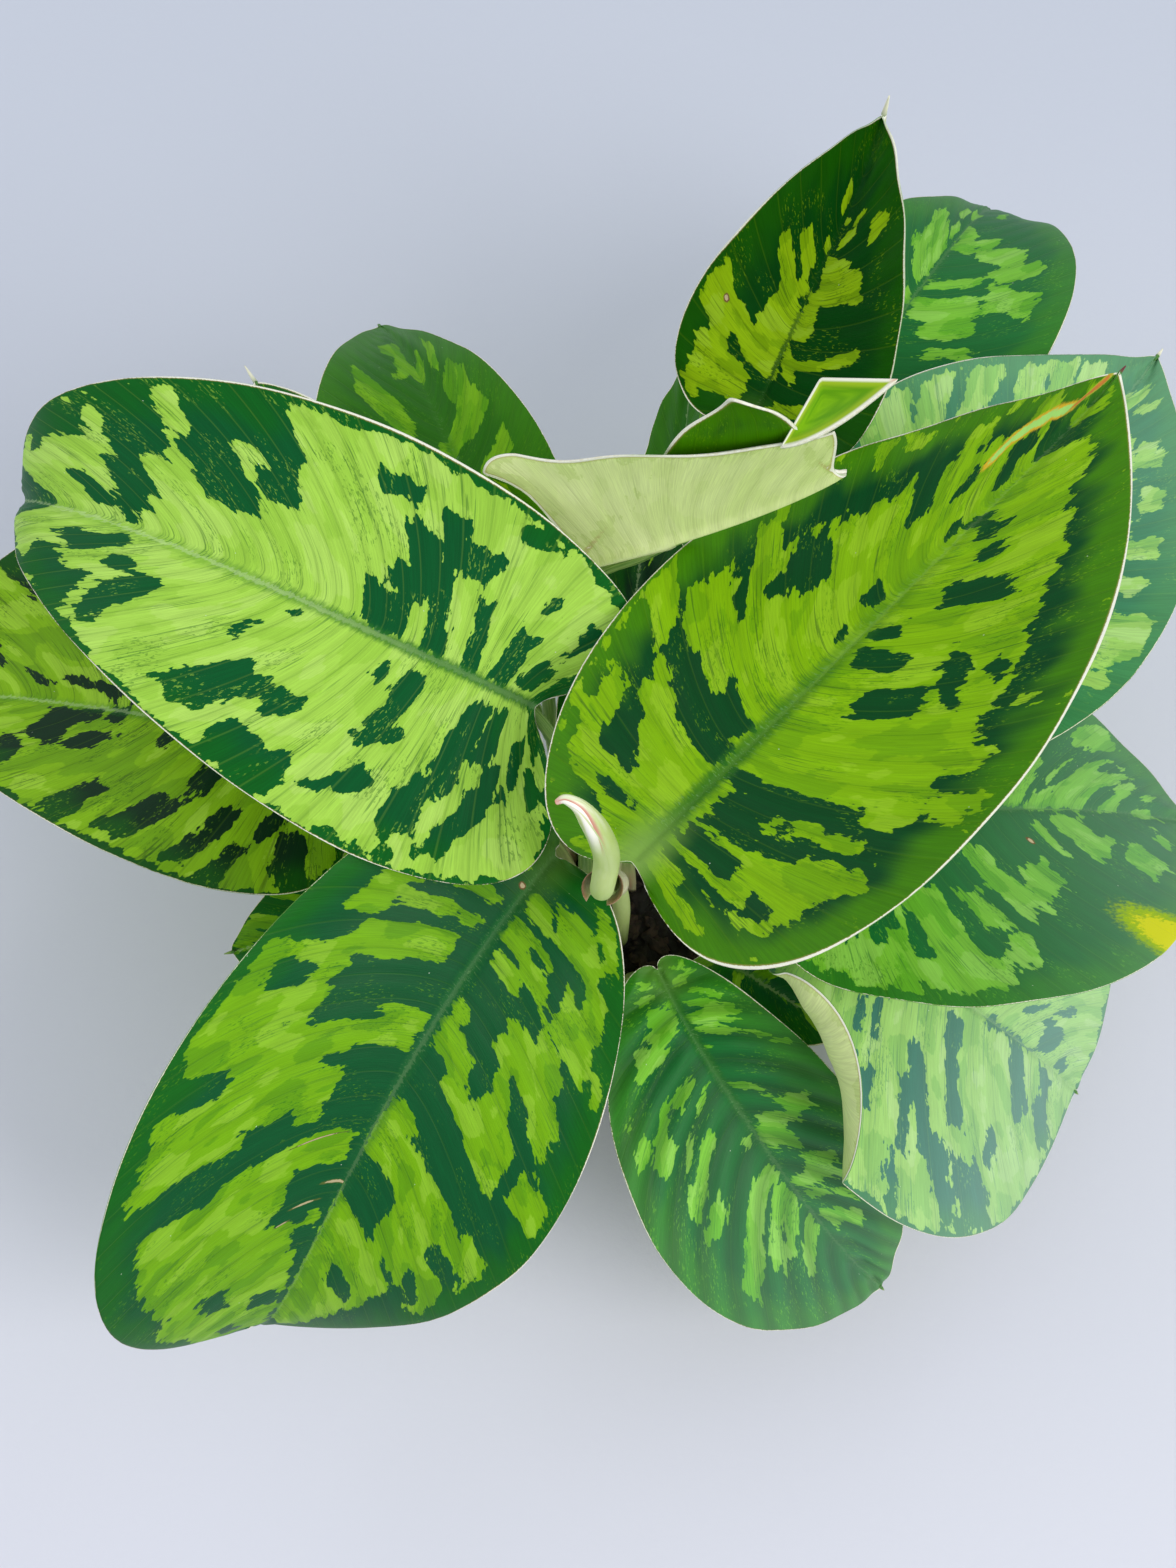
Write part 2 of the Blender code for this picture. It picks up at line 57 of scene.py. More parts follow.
LEAVES = {
    # the big leaf at the left, its end turned down
    "leaf_01": dict(x=-29, y=29, z=182, az=152, pitch=13, roll=-15, droop=23, tip=84,
                    sweep=17, cup=(4, 16), length=182, width=101, left=1.27, right=1.02,
                    lobe=(2.3, 1.9), belly=(0.8, 1.0), full=(1.05, 0.67), point=(2.1, 3.0),
                    crown="front", foot=110, upright=0.55, lead=0.3),
    # the topmost leaf, reaching to the back right
    "leaf_02": dict(x=-5, y=-21, z=206, az=47, pitch=8, roll=-10, droop=24, tip=-22,
                    sweep=2, cup=(-5, 8), curl=(15, 10), length=190, width=112, left=0.94,
                    right=1.16, lobe=1.0, belly=(0.88, 0.8), full=(1.12, 1.0),
                    point=(3.4, 3.2), crown="rear", foot=290, upright=0.7, lead=0.06),
    # the big leaf at the front left
    "leaf_03": dict(x=-24, y=-1, z=150, az=231, pitch=6, roll=-21, droop=64, tip=28,
                    sweep=43, cup=(4, 15), length=191, width=114, left=1.06, right=1.1,
                    lobe=(0.5, 1.2), belly=(1.15, 1.28), full=0.8, point=(3.9, 6.0),
                    crown="front", foot=180, upright=0.7, lead=0.06),
    # behind leaf 1, low at the left
    "leaf_04": dict(x=-83, y=37, z=130, az=165, pitch=-1, roll=-4, droop=34, tip=-4,
                    sweep=4, cup=(7, 8), length=165, width=106, left=1.08, right=1.21,
                    lobe=1.2, belly=(0.73, 0.81), full=(0.9, 0.8), point=(1.8, 4.0),
                    crown="rear", foot=170, upright=0.25, lead=0.4),
    # behind leaf 1, at the back, tip turned away and down
    "leaf_05": dict(x=-39, y=67, z=140, az=103, pitch=19, roll=8, droop=73, tip=-7, sweep=3,
                    cup=(6, 4), length=150, width=97, left=1.05, right=0.76,
                    belly=(0.9, 0.92), full=0.88, point=(2.0, 1.6), crown="rear", foot=80,
                    upright=0.25, lead=0.4),
    # the young leaf standing at the back
    "leaf_06": dict(x=30, y=121, z=166, az=50, pitch=57, roll=5, droop=-21, tip=-15,
                    cup=(18, 15), length=110, width=93, left=0.88, lobe=0.7,
                    belly=(0.93, 0.97), full=(1.0, 0.98), point=1.4, crown="right", foot=90,
                    upright=0.25, lead=0.5, slack=0.5),
    # lowest at the back right
    "leaf_07": dict(x=42, y=132, z=118, az=50, pitch=19, roll=2, droop=71, tip=11, sweep=17,
                    cup=(5, 3), length=175, width=106, left=0.93, right=0.9,
                    belly=(0.81, 0.89), full=(0.87, 0.82), point=(1.4, 4.5), crown="right",
                    foot=50, upright=0.25, lead=0.5, slack=0.7),
    # right, under leaf 2
    "leaf_08": dict(x=67, y=52, z=154, az=47, pitch=5, roll=4, droop=41, tip=-28, sweep=7,
                    cup=(7, 4), length=155, width=109, left=1.13, right=1.05, lobe=1.25,
                    belly=0.85, full=1.04, point=2.5, crown="rear", foot=20, upright=0.55,
                    lead=0.4),
    # right, level, end turned down
    "leaf_09": dict(x=38, y=12, z=136, az=9, pitch=-4, roll=-3, droop=45, tip=-3, sweep=5,
                    cup=(3, 5), length=155, width=108, left=0.88, right=1.16, belly=0.87,
                    full=0.88, crown="right", foot=290, upright=0.55, lead=0.2),
    # lower right, right margin rolled over
    "leaf_10": dict(x=49, y=-8, z=120, az=-25, pitch=-17, roll=10, droop=49, tip=-5,
                    sweep=-3, cup=(4, 13), curl=(10, 217), unroll=0.14, length=128,
                    width=106, left=0.94, right=1.24, belly=(0.99, 0.93), full=(0.86, 0.82),
                    point=(6.3, 6.9), crown="right", foot=340, upright=0.55, lead=0.4),
    # lower middle, hanging towards the front
    "leaf_11": dict(x=4, y=-24, z=118, az=-63, pitch=-17, roll=9, droop=49, tip=4, sweep=19,
                    cup=(6, 13), length=142, width=94, left=0.76, right=1.02, lobe=0.6,
                    belly=1.25, full=1.05, point=3.0, crown="front", foot=330, upright=0.55,
                    lead=0.2),
    # the half-rolled young leaf behind leaves 1 and 2
    "leaf_12": dict(x=-16, y=67, z=188, az=-1, pitch=29, roll=-13, droop=-21, tip=-82,
                    sweep=1, twist=34, cup=(75, 100), curl=(-13, -8), length=119, width=97,
                    left=0.88, right=0.8, lobe=(0.6, 2.0), belly=(1.58, 0.4),
                    full=(1.26, 0.75), point=(4.9, 4.7), wave=2.5, waves=5, crown="rear",
                    foot=130, upright=0.25, lead=0.4),
    # small leaves low in the clump
    "leaf_13": dict(x=-44, y=-2, z=108, az=188, pitch=0, droop=20, length=78, width=54,
                    crown="rear", foot=250, upright=0.25, lead=0.4),
    "leaf_14": dict(x=9, y=97, z=132, az=83, pitch=30, roll=-60, droop=0, length=58,
                    width=38, crown="right", foot=130, upright=0.25, lead=0.4),
    "leaf_15": dict(x=-26, y=-32, z=104, az=242, pitch=-14, droop=26, length=104, width=56,
                    crown="front", foot=260, upright=0.25, lead=0.06),
    "leaf_16": dict(x=-9, y=18, z=142, az=83, pitch=15, droop=10, length=84, width=46,
                    left=0.80, right=1.2, crown="rear", foot=330, upright=0.55, lead=0.3),
    "leaf_17": dict(x=20, y=-14, z=101, az=-33, pitch=0, droop=6, cup=(4, 4), length=46,
                    width=30, crown="right", foot=250, upright=0.25, lead=0.2),
    # hidden under leaf 1, only its tip shows
    "leaf_18": dict(x=-58, y=50, z=160, az=121, pitch=10, droop=18, cup=(14, 14), length=103,
                    width=44, crown="rear", foot=210, upright=0.25, lead=0.4),
}

# The rolled shoot's centre line (x, y, z) and radius, from the soil to the hooked tip.
SHOOT = [
    (-6.0, -7.0, 88.8, 2.6),
    (-6.0, -6.5, 120.0, 2.8),
    (-8.0, -8.0, 146.0, 3.0),
    (-11.5, -15.5, 172.0, 3.2),
    (-12.0, -25.5, 200.0, 3.3),
    (-11.0, -23.5, 217.0, 3.5),
    (-12.5, -22.7, 231.0, 3.1),
    (-15.0, -21.8, 241.0, 2.5),
    (-17.5, -20.5, 246.0, 1.7),
    (-20.5, -19.5, 247.5, 1.1),
    (-22.5, -19.7, 246.0, 0.6),
]

# The stalks, mm.
FOOT_RING = 9.6            # radius of the ring of feet round each stem
FOOT_TOP = 88.8            # height of the feet
STALK_FOOT_R = 2.7
STALK_TOP_R = 1.6
STALK_UNDER = 11.0         # length of stalk lying under the midrib
STALK_DROP = 2.4           # depth of its centre line under the blade there
STALK_STEPS = 44           # points on its centre line up to there
STALK_TAIL_STEPS = 8       # points on the stretch that runs out in the rib
STALK_TAIL_STEP = 2.4      # distance between those
STALK_TAIL_DROP = 0.9      # depth of the last ones under the blade


def srgb(red, green, blue):
    """A colour written as 0 to 255 on a screen, as the shaders take it."""
    def linear(v):
        v = v / 255.0
        return v / 12.92 if v <= 0.04045 else ((v + 0.055) / 1.055) ** 2.4
    return (linear(red), linear(green), linear(blue), 1.0)


# ================================================================ the leaves' looks
CREAM = srgb(240, 238, 222)
TAN = srgb(176, 150, 84)


def tones(*colours):
    """Tones of a blade: its dark, the warmer dark near the margin, and three of its lime."""
    return tuple(srgb(*colour) for colour in colours)


GREEN = tones((4, 80, 38), (14, 94, 18), (94, 150, 6), (112, 166, 6), (142, 188, 48))
BRIGHT = tones((0, 82, 36), (4, 90, 22), (152, 198, 66), (162, 206, 76), (178, 215, 100))
YELLOW = tones((0, 66, 24), (62, 122, 0), (108, 158, 0), (124, 172, 0), (146, 188, 34))
SHADED = tones((0, 42, 14), (10, 76, 4), (108, 156, 6), (126, 174, 10), (158, 200, 56))
DEEP = tones((36, 100, 0), (50, 114, 0), (80, 142, 0), (100, 158, 4), (118, 172, 16))
SHINY = tones((0, 66, 8), (20, 84, 0), (126, 166, 2), (146, 184, 8), (160, 196, 44))
SOFT = tones((14, 100, 38), (44, 118, 26), (94, 166, 28), (116, 182, 46), (142, 198, 82))
# COOL and PALE are paler and bluer than the blades' own green: their own colour with painted sheen of
# reflected sky light added
COOL = tones((44, 124, 82), (62, 136, 78), (136, 194, 82), (162, 211, 98), (184, 221, 136))
PALE = tones((54, 114, 98), (62, 126, 82), (140, 190, 96), (160, 204, 108), (182, 216, 138))

# What every blade's surface has unless its own line says otherwise.
#   seed        number that gives the blade its own noise;  rows   of mesh points along it
#   end         where the blade stops, in s;  shear   how much sooner it stops at its margins
#   dark, lime  the patches, drawn as strokes along the side veins: each from (t, s) to (t, s)
#               with its width in s; s runs from the base to the tip and t from 1 at the left
#               margin over 0 at the midrib to -1 at the right one. The dark strokes are laid
#               on the ground, then the lime ones, then the late dark ones.
#   ground      1 for a lime ground, -1 for a dark one, 0 where only the free patches decide
#   grow        how far all the lime patches are widened, mm
#   free        size of the patches that no stroke places, mm
#   ragged      how far the ends of the patches run out along the veins, mm
#   border      width of the dark strip along the margin, left and right, mm
#   bow         how far the midrib swings to the left at the tip, in t
#   veins       distance between side veins, mm;  quilt   how far the surface domes between them
#   relief      share of the doming and of the small waves that the surface has
#   rim         thickness of the pale margin, left and right, mm
#   band        breadth of the green band along the midrib;  midrib   the band's colour
#   throat      how pale the base is;  rib   strength of the pale line along the midrib
#   crease_shading  strength of the painted shade towards the side veins and painted light between them
#   streak      strength of the dark threads in the lime;  stipple   of the specks in both
#   painted_sheen  share of the painted sheen, a pale bluish wash standing in for reflected light
#   scars       (t, s, half length, half width, tone) of marks on the skin, mm
#   slits       ((t, s) of one end, (t, s) of the other, half width in mm, tone)
LOOK = dict(
    seed=0.0, rows=112, end=0.99, shear=0.0, dark=(), lime=(), late=(), ground=0, grow=0.0,
    free=3.0, ragged=5.0, border=(1.5, 1.5), bow=0.0, veins=8.0, quilt=0.28, relief=1.0,
    rim=(0.2, 0.2), band=0.9, midrib=srgb(38, 108, 30), throat=0.3, rib=0.25, crease_shading=0.1,
    streak=0.5, stipple=0.45, painted_sheen=0.0, tones=GREEN, scars=(), slits=())

LOOKS = {
    "leaf_01": dict(
        seed=1.0, ground=1, rim=(0.24, 0.4), rib=0.3, band=1.0, throat=0.0, bow=0.20,
        quilt=0.4, streak=0.5, tones=BRIGHT, border=(1.5, 2.5), veins=6.0,
        dark=[
            (1.0, .70, .74, .75, .09), (.66, .777, .40, .777, .045), (.42, .775, .26, .773, .02),
            (.60, .715, .42, .74, .03), (.92, .655, .50, .69, .03), (.86, .54, .52, .53, .045),
            (.66, .495, .51, .49, .05), (.46, .585, .33, .593, .014), (.22, .585, .12, .58, .025),
            (1.0, .44, .77, .46, .08), (.82, .385, .63, .355, .035), (.52, .40, .42, .36, .03),
            (.45, .385, .12, .39, .035), (.24, .44, .12, .438, .018), (.83, .30, .50, .285, .05),
            (.52, .275, .12, .245, .05), (.90, .26, .75, .24, .03), (.72, .225, .42, .18, .045),
            (.60, .155, .30, .115, .045), (.42, .215, .12, .19, .045), (.72, .10, .50, .095, .03),
            (1.0, .33, .92, .33, .08), (1.0, .93, -1.0, .93, .14), (.6, .05, .15, .05, .06),
            (.02, .485, -.22, .475, .07), (-.18, .46, -.36, .44, .07),
            (-.22, .42, -.60, .42, .045), (.02, .39, -.26, .39, .04),
            (-.20, .385, -.73, .38, .03), (.02, .315, -.42, .33, .035),
            (-.44, .355, -.66, .345, .04), (-.36, .655, -.72, .625, .06),
            (-.70, .605, -1.0, .57, .06), (-.46, .585, -.64, .575, .045),
            (-.60, .56, -1.0, .53, .045), (-.02, .79, -.33, .785, .016),
            (-.20, .775, -.45, .76, .03), (-.35, .755, -.65, .735, .045),
            (-.62, .71, -1.0, .65, .06), (-.20, .81, -.58, .80, .022),
            (-.84, .78, -1.0, .72, .10), (-.68, .435, -.80, .425, .045),
            (-.53, .24, -.67, .24, .028), (-.82, .30, -.93, .29, .04),
            (0, .24, -.42, .24, .055), (-.06, .165, -.38, .15, .08),
            (-.42, .175, -.80, .165, .045), (.1, .06, -1.0, .06, .09)],
        lime=[(-.16, .362, -.45, .365, .032), (-.30, .205, -.58, .195, .035)]),
    "leaf_02": dict(
        seed=2.0, ground=1, rim=(0.28, 0.6), rib=0.05, bow=-0.11, band=1.6, throat=0.9,
        midrib=srgb(44, 104, 20), tones=YELLOW, border=(1.5, 3.0),
        dark=[
            (-.76, .50, -1.0, .50, .95), (1.0, .74, .74, .74, .17), (.95, .40, .02, .41, .055),
            (.95, .34, .60, .34, .10), (.72, .31, .45, .31, .06), (.66, .28, .35, .275, .03),
            (.92, .25, .80, .22, .08), (.52, .225, .20, .22, .02), (.92, .19, .50, .19, .03),
            (1.0, .13, .60, .13, .06), (.80, .715, .45, .725, .03), (.88, .665, .66, .66, .08),
            (.68, .59, .38, .60, .045), (.62, .555, .48, .56, .05), (1.0, .58, .70, .56, .13),
            (.65, .50, .50, .505, .018), (1.0, .48, .80, .47, .10), (.60, .785, .42, .775, .02),
            (.17, .785, .02, .78, .018), (.17, .675, .02, .685, .022), (.10, .63, 0, .625, .025),
            (.28, .445, .02, .45, .04), (.30, .475, .05, .455, .02), (.50, .43, .25, .43, .025),
            (.50, .83, .10, .83, .02), (.60, .88, -1.0, .88, .035), (0, .80, -.20, .80, .015),
            (-.11, .605, -.33, .595, .03), (-.27, .54, -.52, .54, .05),
            (-.20, .78, -.40, .775, .025), (-.36, .745, -.47, .74, .025),
            (-.33, .69, -.62, .675, .035), (-.10, .64, -.22, .645, .025),
            (-.49, .59, -.62, .55, .06), (-.66, .58, -.74, .55, .03),
            (-.07, .385, -.60, .39, .03), (-.10, .35, -.35, .355, .03),
            (-.33, .36, -.78, .35, .055), (-.10, .32, -.33, .31, .05),
            (-.37, .315, -.55, .31, .03), (-.07, .25, -.42, .245, .05),
            (-.53, .22, -.70, .22, .03), (-.05, .19, -.60, .185, .03),
            (1.0, .94, -.6, .95, .06), (1.0, .87, .45, .885, .045),
            (.68, .83, .36, .84, .03),
            (-.30, .15, -.80, .145, .05)],
        lime=[
            (.63, .37, .36, .365, .045), (.50, .335, .08, .315, .03), (.84, .31, .67, .32, .05),
            (.86, .25, .70, .235, .05), (.88, .54, .60, .54, .03), (.93, .415, .72, .41, .04),
            (.98, .69, .88, .68, .03), (.90, .76, .76, .76, .03), (-.44, .35, -.70, .345, .022),
            (-.78, .41, -.92, .40, .035), (-.80, .52, -.86, .52, .02),
            (-.75, .31, -.84, .30, .02), (-.74, .455, -.84, .46, .03)],
        slits=[((.58, .796), (.71, .811), 2.4, "slit"), ((.70, .809), (.74, .835), 2.6, "slit"),
               ((.74, .830), (.73, .858), 2.4, "slit"), ((.735, .855), (.64, .884), 1.7, "slit"),
               ((.63, .882), (.74, .908), 1.0, "bruise"),
               ((.73, .905), (.88, .938), 1.5, "bruise")]),
    "leaf_03": dict(
        seed=3.0, ground=-1, rim=(0.28, 0.15), rib=0.08, bow=0.07, band=1.1, grow=0.8,
        midrib=srgb(32, 98, 44), streak=0.35, ragged=4.2, border=(2.0, 3.0),
        lime=[
            (.72, .82, .05, .82, .16), (.90, .665, .38, .67, .12), (.65, .65, .05, .655, .07),
            (.93, .515, .76, .525, .035), (.66, .555, .20, .555, .03),
            (.68, .53, .42, .525, .045), (.27, .525, .06, .525, .035), (.51, .50, .42, .49, .03),
            (.14, .485, .06, .482, .02), (.80, .46, .62, .46, .05),
            (.68, .435, .32, .445, .055), (.70, .41, .50, .405, .04), (.27, .385, .10, .385, .03),
            (.82, .345, .52, .34, .07), (.45, .36, .22, .36, .03), (.36, .33, .05, .33, .05),
            (.75, .235, .30, .235, .07), (.82, .29, .66, .29, .05), (.27, .26, .06, .25, .05),
            (1.0, .17, .75, .18, .09), (1.0, .36, .90, .36, .03),
            (-.10, .85, -.90, .85, .13), (-.30, .74, -.85, .72, .12), (-.04, .78, -.30, .78, .02),
            (-.05, .69, -.40, .685, .03), (-.25, .59, -.90, .56, .12), (-.03, .54, -.30, .53, .055),
            (-.50, .47, -.95, .45, .09), (-.12, .42, -.57, .415, .045), (-.10, .355, -.52, .36, .022),
            (-.10, .30, -.37, .30, .03), (-.15, .20, -.50, .20, .02), (-.30, .12, -.45, .13, .06),
            (-.55, .36, -.72, .35, .05)],
        late=[
            (.68, .79, .30, .81, .025), (.90, .65, .65, .67, .03), (.90, .71, .68, .71, .015),
            (.40, .72, .05, .725, .05), (.75, .61, .22, .625, .03), (.40, .33, .22, .33, .02),
            (-.08, .86, -.42, .85, .025), (-.55, .885, -.80, .88, .03), (-.52, .825, -.72, .81, .03),
            (0, .80, -.20, .795, .03), (-.10, .765, -.33, .755, .03), (-.35, .645, -.56, .635, .035),
            (-.58, .66, -.78, .65, .04), (-.02, .62, -.20, .615, .025), (-.05, .575, -.36, .575, .025),
            (-.22, .515, -.47, .515, .03), (-.68, .55, -1.0, .52, .03), (-.60, .46, -.80, .44, .03)],
        scars=[(-.02, .737, 3.5, 0.5, "scar"), (-.16, .757, 3.6, 0.35, "scar"),
               (-.22, .675, 6.5, 0.25, "scar"), (-.26, .77, 1.8, 0.3, "scar"),
               (-.05, .24, 1.0, 1.1, "spot")]),
    "leaf_04": dict(
        seed=4.0, ground=1, bow=0.15, tones=SHADED,
        dark=[
            (.90, .64, .65, .68, .04), (.60, .66, .17, .71, .055), (.55, .615, .35, .62, .04),
            (.33, .66, .10, .68, .028), (.22, .625, .02, .64, .025), (.95, .52, .65, .52, .035),
            (.28, .53, .10, .545, .02), (.90, .45, .55, .43, .045), (.50, .415, .30, .42, .05),
            (.90, .36, .50, .34, .035), (.95, .31, .70, .30, .035), (.66, .27, .40, .26, .03),
            (1.0, .20, .60, .22, .06), (-.05, .65, -.20, .72, .06), (-.10, .75, -.30, .765, .02),
            (-.48, .67, -1.0, .67, .03), (.90, .80, .55, .78, .03), (-.4, .80, -.9, .78, .03),
            (.6, .88, .2, .86, .02), (-.3, .5, -.7, .5, .04)]),
    "leaf_05": dict(
        seed=5.0, ground=-1, rib=0.0, grow=1.3, midrib=srgb(50, 116, 4), tones=DEEP,
        lime=[
            (.78, .67, .35, .64, .06), (.66, .81, .20, .84, .03), (.45, .76, .20, .80, .05),
            (.20, .79, -.40, .79, .03), (-.40, .67, -.75, .66, .06), (-.30, .63, -.70, .60, .05),
            (-.55, .74, -.80, .75, .03), (.10, .62, -.25, .64, .03), (-.30, .53, -.70, .51, .03),
            (.70, .45, .30, .45, .05), (.60, .30, .20, .30, .05), (-.20, .35, -.60, .35, .05)]),
    "leaf_06": dict(
        seed=6.0, ground=-1, rim=(0.35, 0.4), rows=84, bow=0.12, ragged=3.5, rib=0.0,
        band=0.4, grow=0.9, midrib=srgb(16, 74, 10), tones=SHINY, border=(2.0, 2.0), free=1.5,
        lime=[
            (.55, .665, .20, .665, .035), (.25, .625, .08, .63, .03), (.68, .61, .30, .60, .035),
            (.38, .50, .02, .47, .22), (.65, .44, .35, .43, .05), (.90, .44, .55, .40, .09),
            (.80, .28, .25, .28, .14), (1.0, .17, .80, .20, .05), (-.02, .69, -.40, .67, .055),
            (-.05, .65, -.58, .63, .06), (0, .57, -.15, .57, .10), (-.02, .46, -.15, .42, .06),
            (-.15, .45, -.65, .49, .025), (-.10, .27, -.40, .32, .05), (.22, .727, .10, .73, .02),
            (.45, .813, .22, .815, .01), (.33, .795, .22, .797, .01), (-.04, .79, -.20, .79, .01),
            (-.12, .75, -.40, .755, .02), (-.38, .775, -.50, .777, .012), (-.65, .72, -.78, .73, .04)],
        late=[(.90, .30, .80, .25, .06)],
        scars=[(.73, .44, 0.9, 0.8, "spot")]),
    "leaf_07": dict(
        seed=7.0, ground=-1, bow=-0.05, painted_sheen=0.03, grow=0.4, rib=0.05, tones=SOFT,
        border=(3.0, 9.0),
        lime=[
            (.75, .72, .03, .74, .05), (.60, .68, .03, .69, .05), (.33, .78, .10, .785, .03),
            (.60, .80, .35, .82, .03), (.30, .845, -.10, .845, .02), (.30, .61, .10, .62, .03),
            (.15, .64, 0, .635, .02), (-.05, .79, -.30, .76, .06), (-.30, .77, -.53, .755, .02),
            (-.35, .745, -.70, .69, .04), (-.05, .67, -.45, .665, .02), (-.50, .67, -.80, .65, .03),
            (-.05, .62, -.50, .60, .05), (-.22, .575, -.50, .56, .04), (-.50, .63, -.80, .57, .05),
            (-.30, .52, -.55, .51, .02), (-.45, .85, -.60, .84, .02), (.6, .45, .1, .45, .05),
            (.5, .3, .1, .3, .05), (-.2, .35, -.7, .35, .05)]),
    "leaf_08": dict(
        seed=8.0, ground=-1, painted_sheen=0.18, rib=0.1, tones=COOL, border=(3.0, 3.0),
        lime=[
            (1.0, .80, .62, .78, .055), (1.0, .74, .68, .73, .045), (1.0, .69, .66, .67, .05),
            (1.0, .62, .70, .58, .055), (1.0, .54, .70, .50, .055), (1.0, .45, .70, .44, .085),
            (0, .87, -.73, .87, .035), (-.55, .84, -.85, .82, .02), (-.57, .75, -.65, .73, .08),
            (-.69, .74, -.85, .72, .05), (-.73, .65, -.84, .64, .04), (-.64, .60, -.72, .59, .04),
            (-.60, .57, -.85, .56, .035), (-.60, .515, -.83, .50, .03), (-.60, .44, -1.0, .42, .06),
            (-.60, .39, -.85, .39, .025), (-.60, .36, -.97, .355, .03), (.5, .7, .1, .7, .05),
            (.5, .55, .1, .55, .06), (-.1, .6, -.5, .6, .05), (-.1, .45, -.5, .45, .05),
            (.5, .35, .1, .35, .06), (.4, .84, .1, .84, .03)]),
    "leaf_09": dict(
        seed=9.0, ground=-1, painted_sheen=0.16, rib=0.05, grow=0.5, tones=SOFT, border=(2.0, 3.0),
        lime=[
            (.75, .76, 0, .74, .09), (.62, .81, 0, .82, .03), (.95, .72, .75, .70, .06),
            (.50, .665, .05, .665, .03), (.15, .87, -.10, .87, .03), (.63, .855, .45, .855, .012),
            (-.20, .893, -.33, .893, .01), (-.35, .855, -.45, .855, .01), (-.57, .845, -.70, .845, .02),
            (-.10, .76, -.48, .74, .065), (-.50, .78, -.78, .77, .05), (-.10, .695, -.40, .69, .022),
            (-.36, .62, -.55, .60, .05), (-.20, .55, -.60, .55, .04), (-.40, .49, -.63, .48, .035),
            (-.70, .475, -.83, .455, .05), (-.40, .40, -.92, .38, .09), (-.60, .31, -.95, .29, .07),
            (-.70, .25, -.90, .22, .06), (.6, .5, .1, .5, .06), (.7, .38, .1, .38, .05),
            (.5, .25, .1, .25, .05), (-.1, .3, -.4, .3, .04)],
        late=[
            (.80, .77, .62, .765, .03), (.37, .80, .02, .80, .02), (.77, .73, .20, .715, .025),
            (.65, .675, .45, .69, .02), (-.13, .775, -.35, .77, .022), (-.43, .79, -.60, .72, .04),
            (-.10, .71, -.60, .69, .022), (-.46, .375, -.75, .36, .03), (-.57, .30, -.67, .30, .02)],
        scars=[(-.24, .655, 1.1, 0.8, "spot"), (-1.0, .655, 15.0, 7.0, "yellow")]),
    "leaf_10": dict(
        seed=10.0, ground=1, quilt=0.45, veins=10.0, painted_sheen=0.28, rib=0.1, tones=PALE, ragged=6.0,
        dark=[
            (.40, .875, .10, .88, .018), (.47, .82, .05, .835, .028), (.65, .785, .33, .79, .018),
            (.50, .755, .27, .75, .016), (-.17, .86, -.40, .85, .03), (-.30, .85, -.85, .84, .035),
            (-.02, .79, -.57, .79, .032), (-.57, .705, -.70, .695, .025),
            (-.09, .625, -.57, .62, .035), (-.70, .63, -1.0, .64, .07), (-.30, .54, -.70, .55, .04),
            (-.60, .56, -.95, .58, .04), (-.45, .51, -.73, .50, .03), (-.73, .475, -1.0, .47, .025),
            (-.15, .435, -.35, .425, .03), (-.45, .42, -.62, .425, .03), (-.22, .385, -.35, .38, .02),
            (-.45, .385, -.60, .39, .025), (-.38, .32, -.47, .32, .014), (.02, .76, -.04, .76, .12),
            (.6, .5, .2, .5, .05), (.5, .3, .2, .3, .05), (.7, .65, .3, .65, .03)]),
    "leaf_11": dict(
        seed=11.0, ground=-1, quilt=1.3, veins=11.0, bow=0.10, ragged=6.0, painted_sheen=0.12,
        stipple=0.6, rib=0.05, crease_shading=0.5, grow=0.4, tones=SOFT,
        lime=[
            (0, .795, -.65, .78, .02), (-.02, .75, -.50, .745, .022), (-.02, .715, -.60, .71, .03),
            (-.02, .685, -.80, .66, .035), (-.20, .66, -.75, .655, .015), (-.02, .607, -.11, .607, .03),
            (-.45, .60, -.72, .58, .03), (-.25, .54, -.65, .545, .03), (-.10, .48, -.50, .52, .016),
            (-.18, .44, -.35, .44, .03), (-.40, .42, -.68, .45, .03), (-.50, .47, -.62, .47, .02),
            (-.68, .42, -.85, .40, .03), (-.75, .36, -.85, .36, .02), (-.13, .30, -.35, .32, .06),
            (-.20, .28, -.40, .22, .05), (-.35, .33, -.60, .32, .04), (-.40, .18, -.60, .15, .06),
            (.65, .75, .30, .79, .03), (.50, .76, .20, .775, .02), (.50, .67, .10, .72, .02),
            (.60, .70, .20, .74, .015), (.65, .66, .30, .66, .02), (.60, .63, .30, .65, .015),
            (.35, .615, .08, .63, .032), (.50, .55, .10, .595, .032), (.65, .50, .40, .54, .03),
            (.33, .505, .10, .505, .014), (.14, .405, .06, .40, .01), (.85, .37, .10, .355, .016),
            (.60, .305, .08, .33, .032), (.47, .28, 0, .255, .03), (.66, .255, .30, .22, .03),
            (.45, .185, .15, .19, .05), (.70, .15, .50, .13, .03)]),
    # it stops where the tip folds over; the tip is a piece of its own
    "leaf_12": dict(
        seed=12.0, ground=-1, end=0.80, shear=0.11, relief=0.0, rim=(0.7, 0.7), rows=96,
        free=5.0, tones=YELLOW,
        lime=[(-.02, .5, -1.0, .5, .9), (.5, .85, 0.0, .85, .2), (.6, .4, .1, .45, .1)]),
    "leaf_13": dict(seed=13.0, rows=56, free=14.0),
    "leaf_14": dict(seed=14.0, rows=44, free=12.0, ground=-1, tones=DEEP),
    "leaf_15": dict(seed=15.0, rows=64, free=14.0, tones=SHADED),
    "leaf_16": dict(seed=16.0, rows=56, free=12.0, ground=-1, tones=SHADED),
    "leaf_17": dict(seed=17.0, rows=40, free=10.0),
    "leaf_18": dict(seed=18.0, rows=64, free=12.0, ground=-1, rim=(0.6, 0.6)),
}

